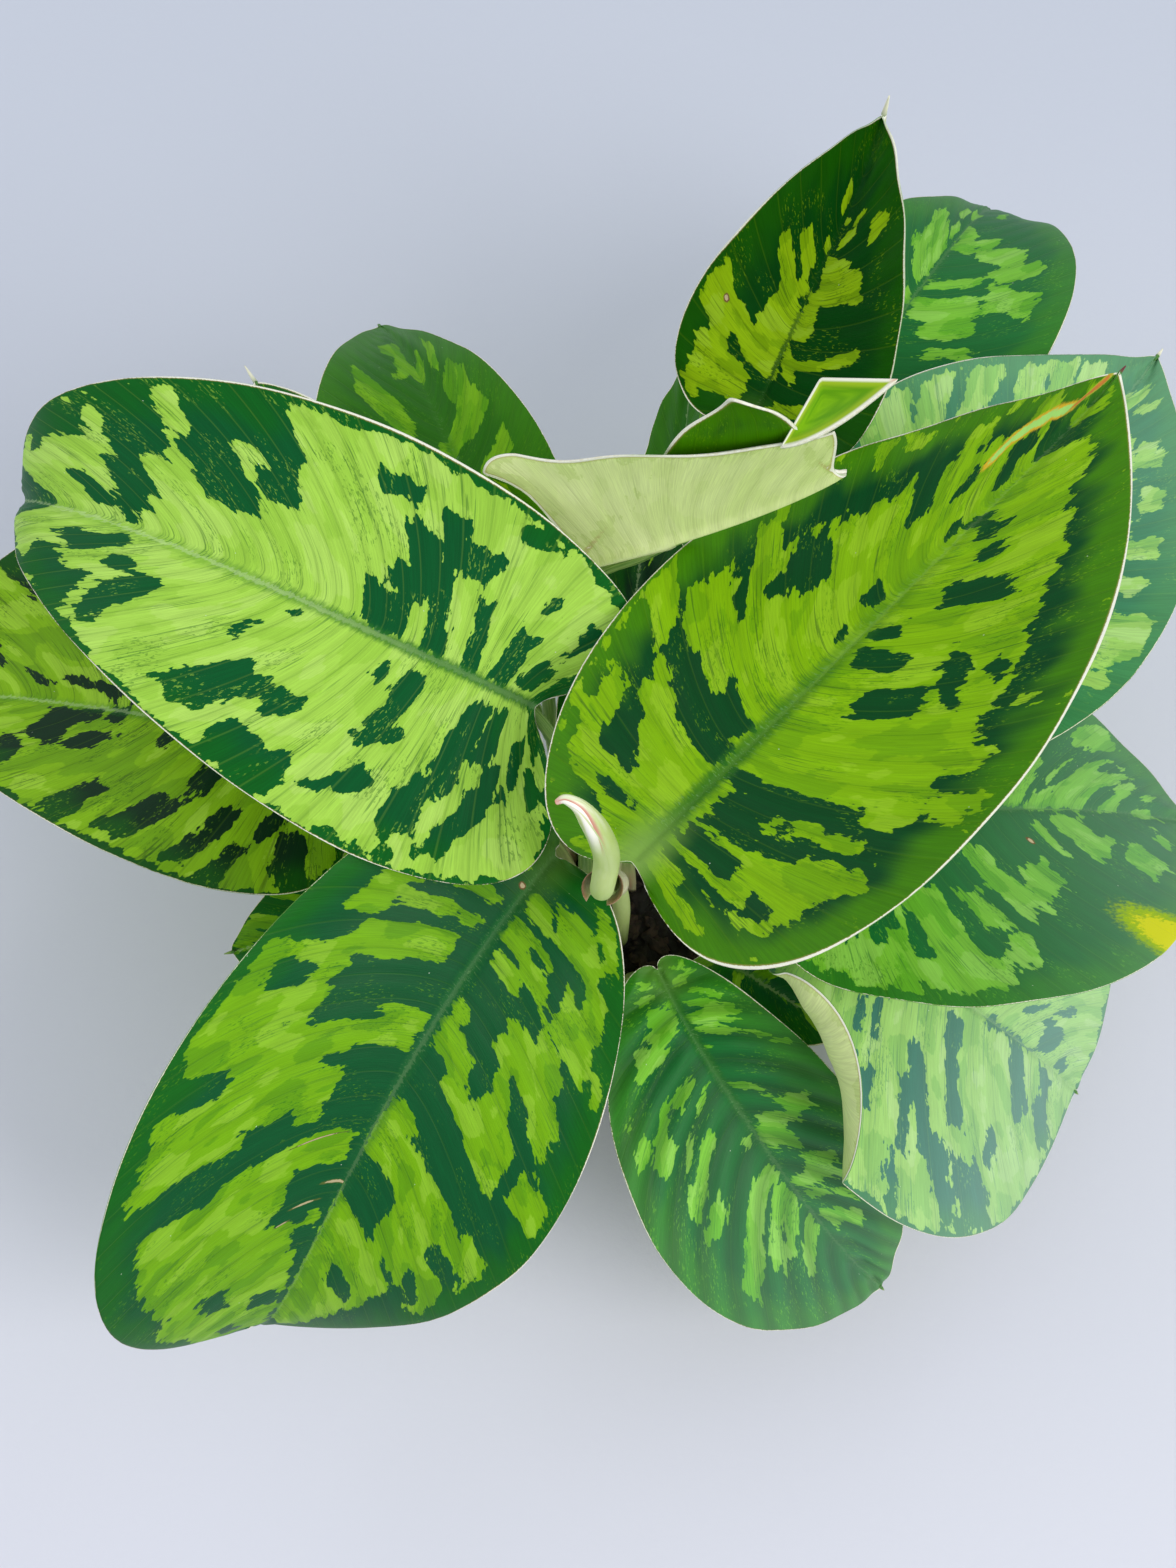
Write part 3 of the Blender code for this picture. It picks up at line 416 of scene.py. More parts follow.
# length of the drawn-out tip, mm, and its tone
TIPS = {"leaf_02": (2.5, "red"), "leaf_06": (7.0, "cream"), "leaf_08": (3.5, "cream"),
        "leaf_18": (7.0, "cream")}
PLAIN_TIP = (2.5, "green")

SHOOT_EDGE = -2.35        # where the free edge of the rolled shoot starts, radians
SHOOT_TWIST = 3.4         # how far it winds round on the way up, radians

BLADE_THICK = 0.55        # mm
S_BASE = 0.015            # where a blade's mesh begins, in s
S_TIP = 0.99              # where a whole blade's mesh ends
# columns from the midrib to the margin, closer together at both
T_STEPS = [0.0, 0.011, 0.024, 0.042, 0.07, 0.105] + [0.105 + 0.037 * k for k in range(1, 22)] \
    + [0.912, 0.94, 0.962, 0.979, 0.991, 1.0]
RIGHT_HALF = 17.0         # sets the noise of the right half apart from that of the left
SKIN_SHINE = 0.12         # specular level of the leaves' upper faces
UPPER_ROUGH = 0.42        # roughness of their dark parts
LIME_DULLER = 0.07        # and how much rougher the lime is


# ================================================================ shader helpers
def feed(tree, socket, value):
    """Gives a socket its value, or links it to the socket that has it."""
    if isinstance(value, bpy.types.NodeSocket):
        tree.links.new(value, socket)
    else:
        socket.default_value = value


def put(tree, kind, inputs=None, **settings):
    """Adds a node; inputs are values or the sockets that feed them."""
    node = tree.nodes.new(kind)
    for name, value in settings.items():
        setattr(node, name, value)
    for key, value in (inputs or {}).items():
        feed(tree, node.inputs[key], value)
    return node


def maths(tree, operation, a, b=0.0, c=0.0):
    """The result of one Math node."""
    return put(tree, "ShaderNodeMath", {0: a, 1: b, 2: c}, operation=operation).outputs[0]


def ramp(tree, value, low, high, to_low=0.0, to_high=1.0):
    """A smooth step from to_low to to_high as value goes from low to high."""
    return put(tree, "ShaderNodeMapRange",
               {"Value": value, "From Min": low, "From Max": high, "To Min": to_low,
                "To Max": to_high}, interpolation_type="SMOOTHSTEP").outputs["Result"]


def blend(tree, share, a, b, kind="MIX"):
    """Colour a, or b laid over it by the given share."""
    node = put(tree, "ShaderNodeMix", {0: share, 6: a, 7: b}, data_type="RGBA", blend_type=kind)
    return node.outputs[2]


def noise(tree, place, scale=1.0, detail=2.0, rough=0.5):
    """Cloudy noise from 0 to 1; scale is its frequency per unit of place."""
    node = put(tree, "ShaderNodeTexNoise",
               {"Vector": place, "Scale": scale, "Detail": detail, "Roughness": rough})
    return node.outputs[0]


def parts(tree, vector):
    """The three numbers of a vector."""
    return put(tree, "ShaderNodeSeparateXYZ", {0: vector}).outputs


def joined(tree, x, y, z):
    """A vector from three numbers."""
    return put(tree, "ShaderNodeCombineXYZ", {0: x, 1: y, 2: z}).outputs[0]


def attribute(tree, name, output):
    """What the mesh holds under this name."""
    return put(tree, "ShaderNodeAttribute", attribute_name=name).outputs[output]


def own_place(tree):
    """The place of the surface in metres, which moves with the piece."""
    return put(tree, "ShaderNodeTexCoord").outputs["Object"]


def vein_noise(tree, place, seed, across, along, detail=2.0, rough=0.5, shift=0.0):
    """Noise drawn out along the side veins: across and along are its frequencies per mm."""
    x, y, z = parts(tree, place)
    far = maths(tree, "ADD", maths(tree, "MULTIPLY", seed, 7.31), shift)
    drawn = joined(tree, maths(tree, "MULTIPLY", x, across), maths(tree, "MULTIPLY", y, along),
                   maths(tree, "ADD", z, far))
    return noise(tree, drawn, 1.0, detail, rough)


def round_noise(tree, length, turn, along, across, scale, detail, rough):
    """Noise on a round piece, from the length along it and the turn round it, with no seam."""
    spun = joined(tree, maths(tree, "MULTIPLY", length, along),
                  maths(tree, "MULTIPLY", maths(tree, "SINE", turn), across),
                  maths(tree, "MULTIPLY", maths(tree, "COSINE", turn), across))
    return noise(tree, spun, scale, detail, rough)


def new_group(name, inputs, outputs):
    """A shader node group with its input and output sockets; inputs give their defaults."""
    group = bpy.data.node_groups.new(name, "ShaderNodeTree")
    kinds = {float: "NodeSocketFloat", tuple: "NodeSocketColor", str: "NodeSocketVector"}
    for label, default in inputs:
        kind = kinds[type(default)]
        socket = group.interface.new_socket(name=label, in_out="INPUT", socket_type=kind)
        if kind != "NodeSocketVector":
            socket.default_value = default
    for label, kind in outputs:
        group.interface.new_socket(name=label, in_out="OUTPUT", socket_type=kind)
    given = group.nodes.new("NodeGroupInput").outputs
    return group, given, group.nodes.new("NodeGroupOutput").inputs


def new_material(name):
    """A material, its nodes and its shader."""
    mat = bpy.data.materials.new(name)
    mat.use_nodes = True
    return mat, mat.node_tree, mat.node_tree.nodes["Principled BSDF"]


def finish(tree, shader, colour, rough, height=None, strength=0.0, depth=0.0):
    """Gives a shader its colour and roughness, and from a height the relief of its skin."""
    feed(tree, shader.inputs["Base Color"], colour)
    feed(tree, shader.inputs["Roughness"], rough)
    if height is not None:
        bump = put(tree, "ShaderNodeBump",
                   {"Height": height, "Strength": strength, "Distance": depth})
        tree.links.new(bump.outputs[0], shader.inputs["Normal"])


# ================================================================ the leaves' surfaces
def leaf_pattern_group():
    """Lime and dark patches along the side veins, with the midrib and the pale rim."""
    tree, given, out = new_group("leaf pattern", [
        ("Place", ""), ("Plan", ""), ("Field", 0.0), ("Seed", 0.0), ("Ragged", 5.0),
        ("Free", 0.0), ("Streak", 0.5), ("Stipple", 0.5), ("Rib", 0.5), ("Rim", 0.4),
        ("Vein Gap", 8.0), ("Band", 1.0), ("Throat", 0.4), ("Crease Shading", 0.1), ("Painted Sheen", 0.0),
        ("Dark", GREEN[0]), ("Dark Rim", GREEN[1]), ("Mid", GREEN[2]), ("Lime", GREEN[3]),
        ("Pale", GREEN[4]), ("Midrib", GREEN[0])],
        [("Color", "NodeSocketColor"), ("Lime Mask", "NodeSocketFloat"),
         ("Height", "NodeSocketFloat")])
    place, seed = given["Place"], given["Seed"]
    reach, off_rib, edge = parts(tree, given["Plan"])

    # patches: broad teeth, fine teeth on them, and free islands
    jag = maths(tree, "SUBTRACT", vein_noise(tree, place, seed, 0.32, 0.14, 2.0, 0.55), 0.5)
    teeth = maths(tree, "SUBTRACT",
                  vein_noise(tree, place, seed, 1.05, 0.40, 3.0, 0.6, 5.0), 0.5)
    islands = maths(tree, "SUBTRACT",
                    vein_noise(tree, place, seed, 0.13, 0.055, 1.0, 0.5, 11.0), 0.5)
    field = given["Field"]
    for layer, size, share in ((jag, "Ragged", 1.9), (teeth, "Ragged", 0.9),
                               (islands, "Free", 2.4)):
        field = maths(tree, "MULTIPLY_ADD", layer, maths(tree, "MULTIPLY", given[size], share),
                      field)
    mask = ramp(tree, field, -0.16, 0.16)

    # tones of the lime, in steps
    level = maths(tree, "MULTIPLY_ADD", teeth, 0.14,
                  vein_noise(tree, place, seed, 0.12, 0.06, 1.0, 0.5, 23.0))
    step_one = ramp(tree, level, 0.42, 0.45)
    step_two = ramp(tree, level, 0.57, 0.60)
    lime = blend(tree, step_one, given["Mid"], given["Lime"])
    lime = blend(tree, maths(tree, "MULTIPLY", step_two, 0.6), lime, given["Pale"])
    close = ramp(tree, field, 0.0, 1.4, 0.4, 0.0)
    lime = blend(tree, close, lime, given["Mid"])

    # tones of the dark
    outer = ramp(tree, maths(tree, "MULTIPLY_ADD", islands, 16.0, edge), 3.0, 14.0, 1.0, 0.0)
    dark = blend(tree, outer, given["Dark"], given["Dark Rim"])

    # zones of half tone: dark threads and stipple in the lime, lime stipple in the dark
    zone = vein_noise(tree, place, seed, 0.11, 0.05, 1.0, 0.4, 41.0)
    thread = vein_noise(tree, place, seed, 2.1, 0.055, 2.0, 0.55, 31.0)
    thread = maths(tree, "MULTIPLY", ramp(tree, thread, 0.59, 0.64),
                   ramp(tree, zone, 0.38, 0.56))
    dots = vein_noise(tree, place, seed, 1.9, 0.6, 2.0, 0.6, 53.0)
    in_lime = maths(tree, "MULTIPLY", ramp(tree, dots, 0.57, 0.60),
                    ramp(tree, zone, 0.56, 0.62))
    in_dark = maths(tree, "MULTIPLY", ramp(tree, dots, 0.36, 0.40, 1.0, 0.0),
                    ramp(tree, zone, 0.40, 0.47, 1.0, 0.0))
    lime = blend(tree, maths(tree, "MULTIPLY", thread, given["Streak"]), lime, given["Dark"])
    lime = blend(tree, maths(tree, "MULTIPLY", in_lime, given["Stipple"]), lime,
                 given["Dark Rim"])
    dark = blend(tree, maths(tree, "MULTIPLY", in_dark, given["Stipple"]), dark, given["Mid"])
    colour = blend(tree, mask, dark, lime)

    # fine lines of the side veins and of the tissue between them
    beat = maths(tree, "DIVIDE", parts(tree, place)[0], given["Vein Gap"])
    beat = maths(tree, "ABSOLUTE", maths(tree, "SUBTRACT", maths(tree, "FRACT", beat), 0.5))
    from_vein = maths(tree, "MULTIPLY", maths(tree, "SUBTRACT", 0.5, beat), given["Vein Gap"])
    vein = ramp(tree, from_vein, 0.08, 0.34, 1.0, 0.0)
    crease = blend(tree, mask, given["Mid"], given["Dark Rim"])
    crease_share = ramp(tree, mask, 0.0, 1.0, 0.10, 0.20)
    colour = blend(tree, maths(tree, "MULTIPLY", vein, crease_share), colour, crease)
    grain = vein_noise(tree, place, seed, 3.6, 0.10, 2.0, 0.6, 67.0)
    shade = ramp(tree, grain, 0.3, 0.7, 0.90, 1.08)
    # painted shade darkens the tissue towards the side veins and painted light brightens it between
    # them, standing in for the light on the pleats
    painted_vein_shade = maths(tree, "MULTIPLY", ramp(tree, beat, 0.0, 0.5, 0.36, -0.5), given["Crease Shading"])
    shade = maths(tree, "MULTIPLY_ADD", shade, painted_vein_shade, shade)
    colour = blend(tree, 1.0, colour, joined(tree, shade, shade, shade), "MULTIPLY")

    # midrib: a soft green band at the base that thins to a pale line
    wander = maths(tree, "MULTIPLY_ADD", teeth, 3.0, off_rib)
    band = ramp(tree, maths(tree, "DIVIDE", wander, given["Band"]), 0.6, 2.6, 1.0, 0.0)
    band = maths(tree, "MULTIPLY", band, ramp(tree, reach, 0.1, 0.65, 0.9, 0.2))
    colour = blend(tree, band, colour, given["Midrib"])
    wide = ramp(tree, reach, 0.0, 1.0, 0.8, 0.25)
    line = maths(tree, "DIVIDE", wander, wide)
    line = maths(tree, "MULTIPLY", ramp(tree, line, 0.5, 1.3, 1.0, 0.0),
                 ramp(tree, reach, 0.12, 0.45, 0.35, 1.0))
    colour = blend(tree, maths(tree, "MULTIPLY", line, given["Rib"]), colour,
                   srgb(200, 222, 166))
    specks = maths(tree, "MULTIPLY", ramp(tree, dots, 0.60, 0.64), band)
    colour = blend(tree, maths(tree, "MULTIPLY", specks, 0.25), colour, srgb(150, 190, 130))
    throat = maths(tree, "MULTIPLY", ramp(tree, reach, 0.0, 0.12, 1.0, 0.0),
                   ramp(tree, off_rib, 1.0, 10.0, 1.0, 0.0))
    throat = maths(tree, "MULTIPLY", throat, given["Throat"])
    colour = blend(tree, throat, colour, srgb(128, 166, 72))

    # the pale rim with its thin tan line inside
    ripple = maths(tree, "MULTIPLY_ADD", maths(tree, "SUBTRACT", grain, 0.5), 0.4, edge)
    ripple = maths(tree, "DIVIDE", ripple, given["Rim"])
    colour = blend(tree, ramp(tree, ripple, 1.0, 1.9, 0.6, 0.0), colour, TAN)
    colour = blend(tree, ramp(tree, ripple, 0.85, 1.15, 1.0, 0.0), colour, CREAM)

    # painted sheen: a pale bluish wash over the far half of some blades, standing in for reflected
    # light
    sheen_wash = maths(tree, "MULTIPLY", ramp(tree, reach, 0.05, 0.85), given["Painted Sheen"])
    colour = blend(tree, sheen_wash, colour, srgb(178, 208, 190))

    # pin-point white flecks
    flecks = put(tree, "ShaderNodeTexVoronoi", {"Vector": place, "Scale": 0.12})
    fleck = ramp(tree, flecks.outputs["Distance"], 0.014, 0.024, 0.8, 0.0)
    colour = blend(tree, fleck, colour, srgb(214, 226, 206))

    tree.links.new(colour, out["Color"])
    tree.links.new(mask, out["Lime Mask"])
    height = maths(tree, "MULTIPLY_ADD", vein, -0.7, maths(tree, "MULTIPLY", grain, 0.8))
    tree.links.new(height, out["Height"])
    return tree


def scar_group():
    """An oval mark on the skin: 1 inside it, and a ring round it."""
    tree, given, out = new_group("scar", [
        ("Place", ""), ("Centre", ""), ("Half Length", 3.0), ("Half Width", 0.5),
        ("Turn", 0.0)],
        [("Core", "NodeSocketFloat"), ("Ring", "NodeSocketFloat")])
    off = put(tree, "ShaderNodeVectorMath", {0: given["Place"], 1: given["Centre"]},
              operation="SUBTRACT").outputs[0]
    x, y, z = parts(tree, off)
    wobble = noise(tree, given["Place"], 0.9, 3.0, 0.6)
    wobble = maths(tree, "MULTIPLY", maths(tree, "SUBTRACT", wobble, 0.5), 1.1)
    cosine, sine = (maths(tree, kind, given["Turn"]) for kind in ("COSINE", "SINE"))
    across = maths(tree, "SUBTRACT", maths(tree, "MULTIPLY", x, cosine),
                   maths(tree, "MULTIPLY", y, sine))
    along = maths(tree, "ADD", maths(tree, "MULTIPLY", x, sine),
                  maths(tree, "MULTIPLY", y, cosine))
    across = maths(tree, "DIVIDE", across, given["Half Width"])
    along = maths(tree, "DIVIDE", along, given["Half Length"])
    far = maths(tree, "SQRT", maths(tree, "ADD", maths(tree, "MULTIPLY", across, across),
                                    maths(tree, "MULTIPLY", along, along)))
    far = maths(tree, "ADD", maths(tree, "ADD", far, wobble), maths(tree, "ABSOLUTE", z))
    tree.links.new(ramp(tree, far, 0.75, 0.95, 1.0, 0.0), out["Core"])
    tree.links.new(ramp(tree, far, 1.0, 1.55, 1.0, 0.0), out["Ring"])
    return tree


SCAR_TONES = {                       # the mark itself, then the ring round it
    "scar": (srgb(182, 166, 128), srgb(84, 98, 40)),
    "spot": (srgb(196, 178, 140), srgb(122, 84, 50)),
    "slit": (srgb(160, 212, 106), srgb(206, 168, 40)),
    "bruise": (srgb(190, 120, 50), srgb(170, 172, 50)),
    "yellow": (srgb(206, 206, 20), srgb(150, 180, 20))}
SLIT_HALF = 0.62          # half length of a slit's mark in its own length, so that slits join


def skin_marks(leaf, look):
    """Each scar's and slit's place across and along the side veins, mm, its side and measures,
    its turn in radians and its tone."""
    marks = []
    for t, s, half_length, half_width, tone in look["scars"]:
        across, along = vein_distances(leaf, np.array(s), np.array(float(t)))
        marks.append((across, along, t, half_length, half_width, 0.0, tone))
    for start, end, half_width, tone in look["slits"]:
        t, s = np.array([start, end]).T
        across, along = vein_distances(leaf, s, t)
        step = (across[1] - across[0], along[1] - along[0])
        marks.append((across.mean(), along.mean(), t[0], SLIT_HALF * math.hypot(*step),
                      half_width, math.atan2(*step), tone))
    return marks


def leaf_pattern(tree, group, settings):
    """The leaf pattern placed in a material and fed from what the blade's mesh holds."""
    from_mesh = {"Place": attribute(tree, "vein_place", "Vector"),
                 "Plan": attribute(tree, "plan", "Vector"),
                 "Field": attribute(tree, "field", "Fac")}
    return put(tree, "ShaderNodeGroup", {**from_mesh, **settings}, node_tree=group)


def blade_top(name, leaf, look, group, scar):
    """A blade's glossy upper face with its patches, and its scars and slits over them."""
    mat, tree, shader = new_material(name + " upper face")
    settings = {label: look[key] for label, key in (
        ("Seed", "seed"), ("Ragged", "ragged"), ("Free", "free"), ("Streak", "streak"),
        ("Stipple", "stipple"), ("Rib", "rib"), ("Vein Gap", "veins"), ("Band", "band"),
        ("Throat", "throat"), ("Crease Shading", "crease_shading"), ("Painted Sheen", "painted_sheen"), ("Midrib", "midrib"))}
    settings.update(zip(("Dark", "Dark Rim", "Mid", "Lime", "Pale"), look["tones"]))
    settings["Rim"] = attribute(tree, "rim", "Fac")
    pattern = leaf_pattern(tree, group, settings)
    colour = pattern.outputs["Color"]
    cores = []
    for across, along, t, half_length, half_width, turn, tone in skin_marks(leaf, look):
        core, ring = SCAR_TONES[tone]
        mark = put(tree, "ShaderNodeGroup", {
            "Place": attribute(tree, "vein_place", "Vector"),
            "Centre": (across, along, 0.0 if t >= 0 else RIGHT_HALF),
            "Half Length": half_length, "Half Width": half_width, "Turn": turn}, node_tree=scar)
        colour = blend(tree, mark.outputs["Ring"], colour, ring)
        cores.append((mark.outputs["Core"], core))
    for share, core in cores:
        colour = blend(tree, share, colour, core)
    rough = ramp(tree, pattern.outputs["Lime Mask"], 0.0, 1.0, UPPER_ROUGH,
                 UPPER_ROUGH + LIME_DULLER)
    finish(tree, shader, colour, rough, pattern.outputs["Height"], 0.35, 0.0002)
    shader.inputs["Specular IOR Level"].default_value = SKIN_SHINE
    return mat


def blade_under(group):
    """The pale underside: the patches show through it faintly."""
    mat, tree, shader = new_material("blade underside")
    pattern = leaf_pattern(tree, group, {
        "Ragged": 9.0, "Free": 3.0, "Streak": 0.05, "Stipple": 0.0, "Rib": 0.0, "Rim": 0.6,
        "Vein Gap": 8.0, "Band": 0.4, "Throat": 0.0, "Midrib": srgb(216, 228, 160),
        "Dark": srgb(210, 224, 146), "Dark Rim": srgb(204, 220, 138),
        "Mid": srgb(214, 228, 150), "Lime": srgb(219, 231, 157), "Pale": srgb(223, 234, 164)})
    finish(tree, shader, pattern.outputs["Color"], 0.5, pattern.outputs["Height"], 0.3, 0.0002)
    return mat


def rim_material():
    """The cut edge of a blade: cream where the rim is wide, green where there is none."""
    mat, tree, shader = new_material("pale rim")
    tone = noise(tree, own_place(tree), 900.0, 3.0, 0.6)
    colour = blend(tree, ramp(tree, tone, 0.4, 0.65), CREAM, srgb(228, 222, 196))
    wide = ramp(tree, attribute(tree, "rim", "Fac"), 0.2, 0.5)
    finish(tree, shader, blend(tree, wide, srgb(96, 150, 50), colour), 0.5)
    return mat


# ================================================================ the blade surface
def blade_axes(leaf):
    """Unit vectors along the midrib, to its left and up from the blade, at the blade's base."""
    az, pitch, roll = (math.radians(leaf[k]) for k in ("az", "pitch", "roll"))
    along = np.array([math.cos(az) * math.cos(pitch), math.sin(az) * math.cos(pitch),
                      math.sin(pitch)])
    level = np.array([-math.sin(az), math.cos(az), 0.0])
    up = np.cross(along, level)
    left = level * math.cos(roll) + up * math.sin(roll)
    return along, left, up * math.cos(roll) - level * math.sin(roll)


def midrib(leaf, xi):
    """Points, tangents, left and up vectors of the midrib in the blade's own axes."""
    steps = 96
    mids = (np.arange(steps) + 0.5) / steps
    ends = np.linspace(0.0, 1.0, steps + 1)

    def tangent(f):
        bend = np.radians(leaf["droop"] * f + leaf["tip"] * f ** 6)
        swing = np.radians(leaf["sweep"] * f)
        return np.stack([np.cos(swing) * np.cos(bend), np.sin(swing) * np.cos(bend),
                         -np.sin(bend)], -1)

    path = np.cumsum(tangent(mids), 0) * leaf["length"] / steps
    path = np.concatenate([np.zeros((1, 3)), path])
    point = np.stack([np.interp(xi, ends, path[:, k]) for k in range(3)], -1)
    swing = np.radians(leaf["sweep"] * xi)
    along = tangent(xi)
    left = np.stack([-np.sin(swing), np.cos(swing), 0.0 * swing], -1)
    up = np.cross(along, left)
    turn = np.radians(leaf["twist"] * xi)[..., None]
    return point, along, left * np.cos(turn) + up * np.sin(turn), \
        up * np.cos(turn) - left * np.sin(turn)


def by_side(value, is_left):
    """A number, or of a pair the first one on the left and the second one on the right."""
    return np.where(is_left, *value) if isinstance(value, tuple) else value


def blade_plan(leaf, s, t):
    """The flattened blade: distances from its base along and away from the midrib, mm."""
    length, half = leaf["length"], leaf["width"] / 2.0
    reach = np.abs(t)
    is_left = t >= 0.0
    lobe, belly, full, point = (by_side(leaf[k], is_left)
                                for k in ("lobe", "belly", "full", "point"))
    margin_x = length * ((1.0 - np.cos(np.pi * s)) / 2.0 - lobe * s * (1.0 - s) ** 5)
    margin_y = np.sin(np.pi * s ** belly) ** full * (1.0 - s ** point)
    margin_y = margin_y * half / 0.975 * np.where(is_left, leaf["left"], leaf["right"])
    vein_x = length * s ** 1.9
    # near the tip the veins turn square to the midrib
    vein_x = vein_x + (margin_x - vein_x) * np.clip((s - 0.75) / 0.22, 0.0, 1.0) ** 2
    return vein_x + (margin_x - vein_x) * reach ** 1.5, margin_y * reach


def blade_points(leaf, s, t):
    """Points of the blade, mm. s runs from base to tip along the margin, t from -1 at the
    right margin over 0 at the midrib to 1 at the left margin, and a line of constant s is a
    side vein."""
    length, half = leaf["length"], leaf["width"] / 2.0
    is_left = t >= 0.0
    x, y = blade_plan(leaf, s, t)
    xi = np.clip(x / length, 0.0, 1.0)
    point, _, left, up = midrib(leaf, xi)
    point[..., 0] += np.minimum(x, 0.0)

    cup = np.radians(np.where(is_left, *leaf["cup"]))
    curl = np.radians(np.where(is_left, *leaf["curl"]))
    curl = curl * (1.0 - np.clip((s - leaf["unroll"]) / 0.25, 0.0, 1.0))
    out = np.zeros_like(y)
    rise = np.zeros_like(y)
    slices = 16
    for k in range(slices):
        angle = cup + curl * (y * (k + 0.5) / slices / half) ** 2
        out += np.cos(angle) * y / slices
        rise += np.sin(angle) * y / slices
    ripple = np.sin(2.0 * np.pi * leaf["waves"] * s + np.where(is_left, 0.0, 1.3))
    rise = rise + leaf["wave"] * (y / half) ** 2 * ripple

    sign = np.where(is_left, 1.0, -1.0)
    local = point + left * (sign * out)[..., None] + up * rise[..., None]
    base_along, base_left, base_up = blade_axes(leaf)
    origin = np.array([leaf["x"], leaf["y"], leaf["z"]])
    return origin + local[..., :1] * base_along + local[..., 1:2] * base_left \
        + local[..., 2:] * base_up


def smooth(value, low, high):
    """A smooth step from 0 to 1 as value goes from low to high."""
    f = np.clip((value - low) / (high - low), 0.0, 1.0)
    return f * f * (3.0 - 2.0 * f)


def soft_noise(x, y, seed):
    """A smooth wavy number between about -1 and 1 for each (x, y)."""
    rng = np.random.default_rng(int(seed * 1000) + 5)
    total = np.zeros_like(x)
    for _ in range(6):
        fx, fy = rng.uniform(-1.0, 1.0, 2)
        total += np.sin(2.0 * np.pi * (fx * x + fy * y) + rng.uniform(0.0, 6.28))
    return total / 2.6


def vein_distances(leaf, s, t):
    """How far each point lies across the side veins and along its own one, mm."""
    fine = np.linspace(0.0, 1.0, 400)
    px, py = blade_plan(leaf, fine, np.full_like(fine, 0.5))
    run = np.concatenate([[0.0], np.cumsum(np.hypot(np.diff(px), np.diff(py)))])
    across = np.interp(s, fine, run)
    x, y = blade_plan(leaf, s, t)
    x0, _ = blade_plan(leaf, s, 0.0 * t)
    return across, np.hypot(x - x0, y) * np.sign(t)


def stroke_distance(leaf, stroke, across, row, t):
    """Distance in mm outside a stroke along the side veins, negative inside it."""
    narrow = 1.7           # the sides of the patches are sharper than their ragged ends
    t0, s0, t1, s1, wide = stroke
    share = np.clip((t - t0) / (t1 - t0), 0.0, 1.0)
    middle = s0 + (s1 - s0) * share
    low, high = (vein_distances(leaf, middle + k * wide / 2.0, 0.0 * t)[0] for k in (-1, 1))
    past_side = np.maximum(low - across, across - high) * narrow
    past_end = np.maximum(min(t0, t1) - t, t - max(t0, t1)) * row
    outside = np.hypot(np.maximum(past_side, 0.0), np.maximum(past_end, 0.0))
    return outside + np.minimum(np.maximum(past_side, past_end), 0.0)


def lime_field(leaf, look, s, t, edge):
    """Millimetres inside (above 0) or outside (below 0) the lime, before the ragged ends."""
    deep, border_slope = 6.0, 1.5
    across = vein_distances(leaf, s, t)[0]
    row = vein_distances(leaf, s, 0.0 * t + 1.0)[1]
    field = np.full(s.shape, deep * look["ground"])
    for stroke in look["dark"]:
        field = np.minimum(field, stroke_distance(leaf, stroke, across, row, t))
    for stroke in look["lime"]:
        field = np.maximum(field, -stroke_distance(leaf, stroke, across, row, t))
    for stroke in look["late"]:
        field = np.minimum(field, stroke_distance(leaf, stroke, across, row, t))
    field = field + look["grow"]
    border = np.where(t >= 0.0, *look["border"])
    field = np.minimum(field, (edge - border) * border_slope)
    return np.clip(field, -deep, deep)


# ================================================================ meshes
def build_mesh(name, verts, faces):
    """A smooth-shaded mesh from points in millimetres."""
    mesh = bpy.data.meshes.new(name)
    mesh.from_pydata((verts * MM).tolist(), [], faces)
    mesh.polygons.foreach_set("use_smooth", [True] * len(mesh.polygons))
    mesh.update()
    return mesh


def store(mesh, name, values):
    """Keeps a number, or a vector, for each point of a mesh."""
    kind, key = ("FLOAT", "value") if values.ndim == 1 else ("FLOAT_VECTOR", "vector")
    made = mesh.attributes.new(name, kind, "POINT")
    made.data.foreach_set(key, np.ascontiguousarray(values, dtype=np.float32).ravel())


def sheet_mesh(name, upper, lower, held, materials):
    """A thin closed sheet from the grids of its upper and lower points. held gives what each
    point of the grid holds on both sides. Three materials cover the upper face, the lower face
    and the cut edge; a single one covers it all."""
    count = upper.shape[0] * upper.shape[1]
    index = np.arange(count).reshape(upper.shape[:2])
    a, b = index[:-1, :-1].ravel(), index[1:, :-1].ravel()
    c, d = index[1:, 1:].ravel(), index[:-1, 1:].ravel()
    ring = np.concatenate([index[0, :], index[1:, -1], index[-1, -2::-1], index[-2:0:-1, 0]])
    onward = np.roll(ring, -1)
    faces = np.concatenate([np.stack([a, b, c, d], -1), np.stack([d, c, b, a], -1) + count,
                            np.stack([ring, onward, onward + count, ring + count], -1)])
    mesh = build_mesh(name, np.concatenate([upper.reshape(-1, 3), lower.reshape(-1, 3)]),
                      faces.tolist())
    if len(materials) > 1:
        kinds = np.repeat((0, 1, 2), (len(a), len(a), len(ring)))
        mesh.polygons.foreach_set("material_index", kinds.tolist())
    for label, values in held.items():
        flat = values.reshape((count,) + values.shape[2:])
        store(mesh, label, np.concatenate([flat, flat]))
    for mat in materials:
        mesh.materials.append(mat)
    return mesh


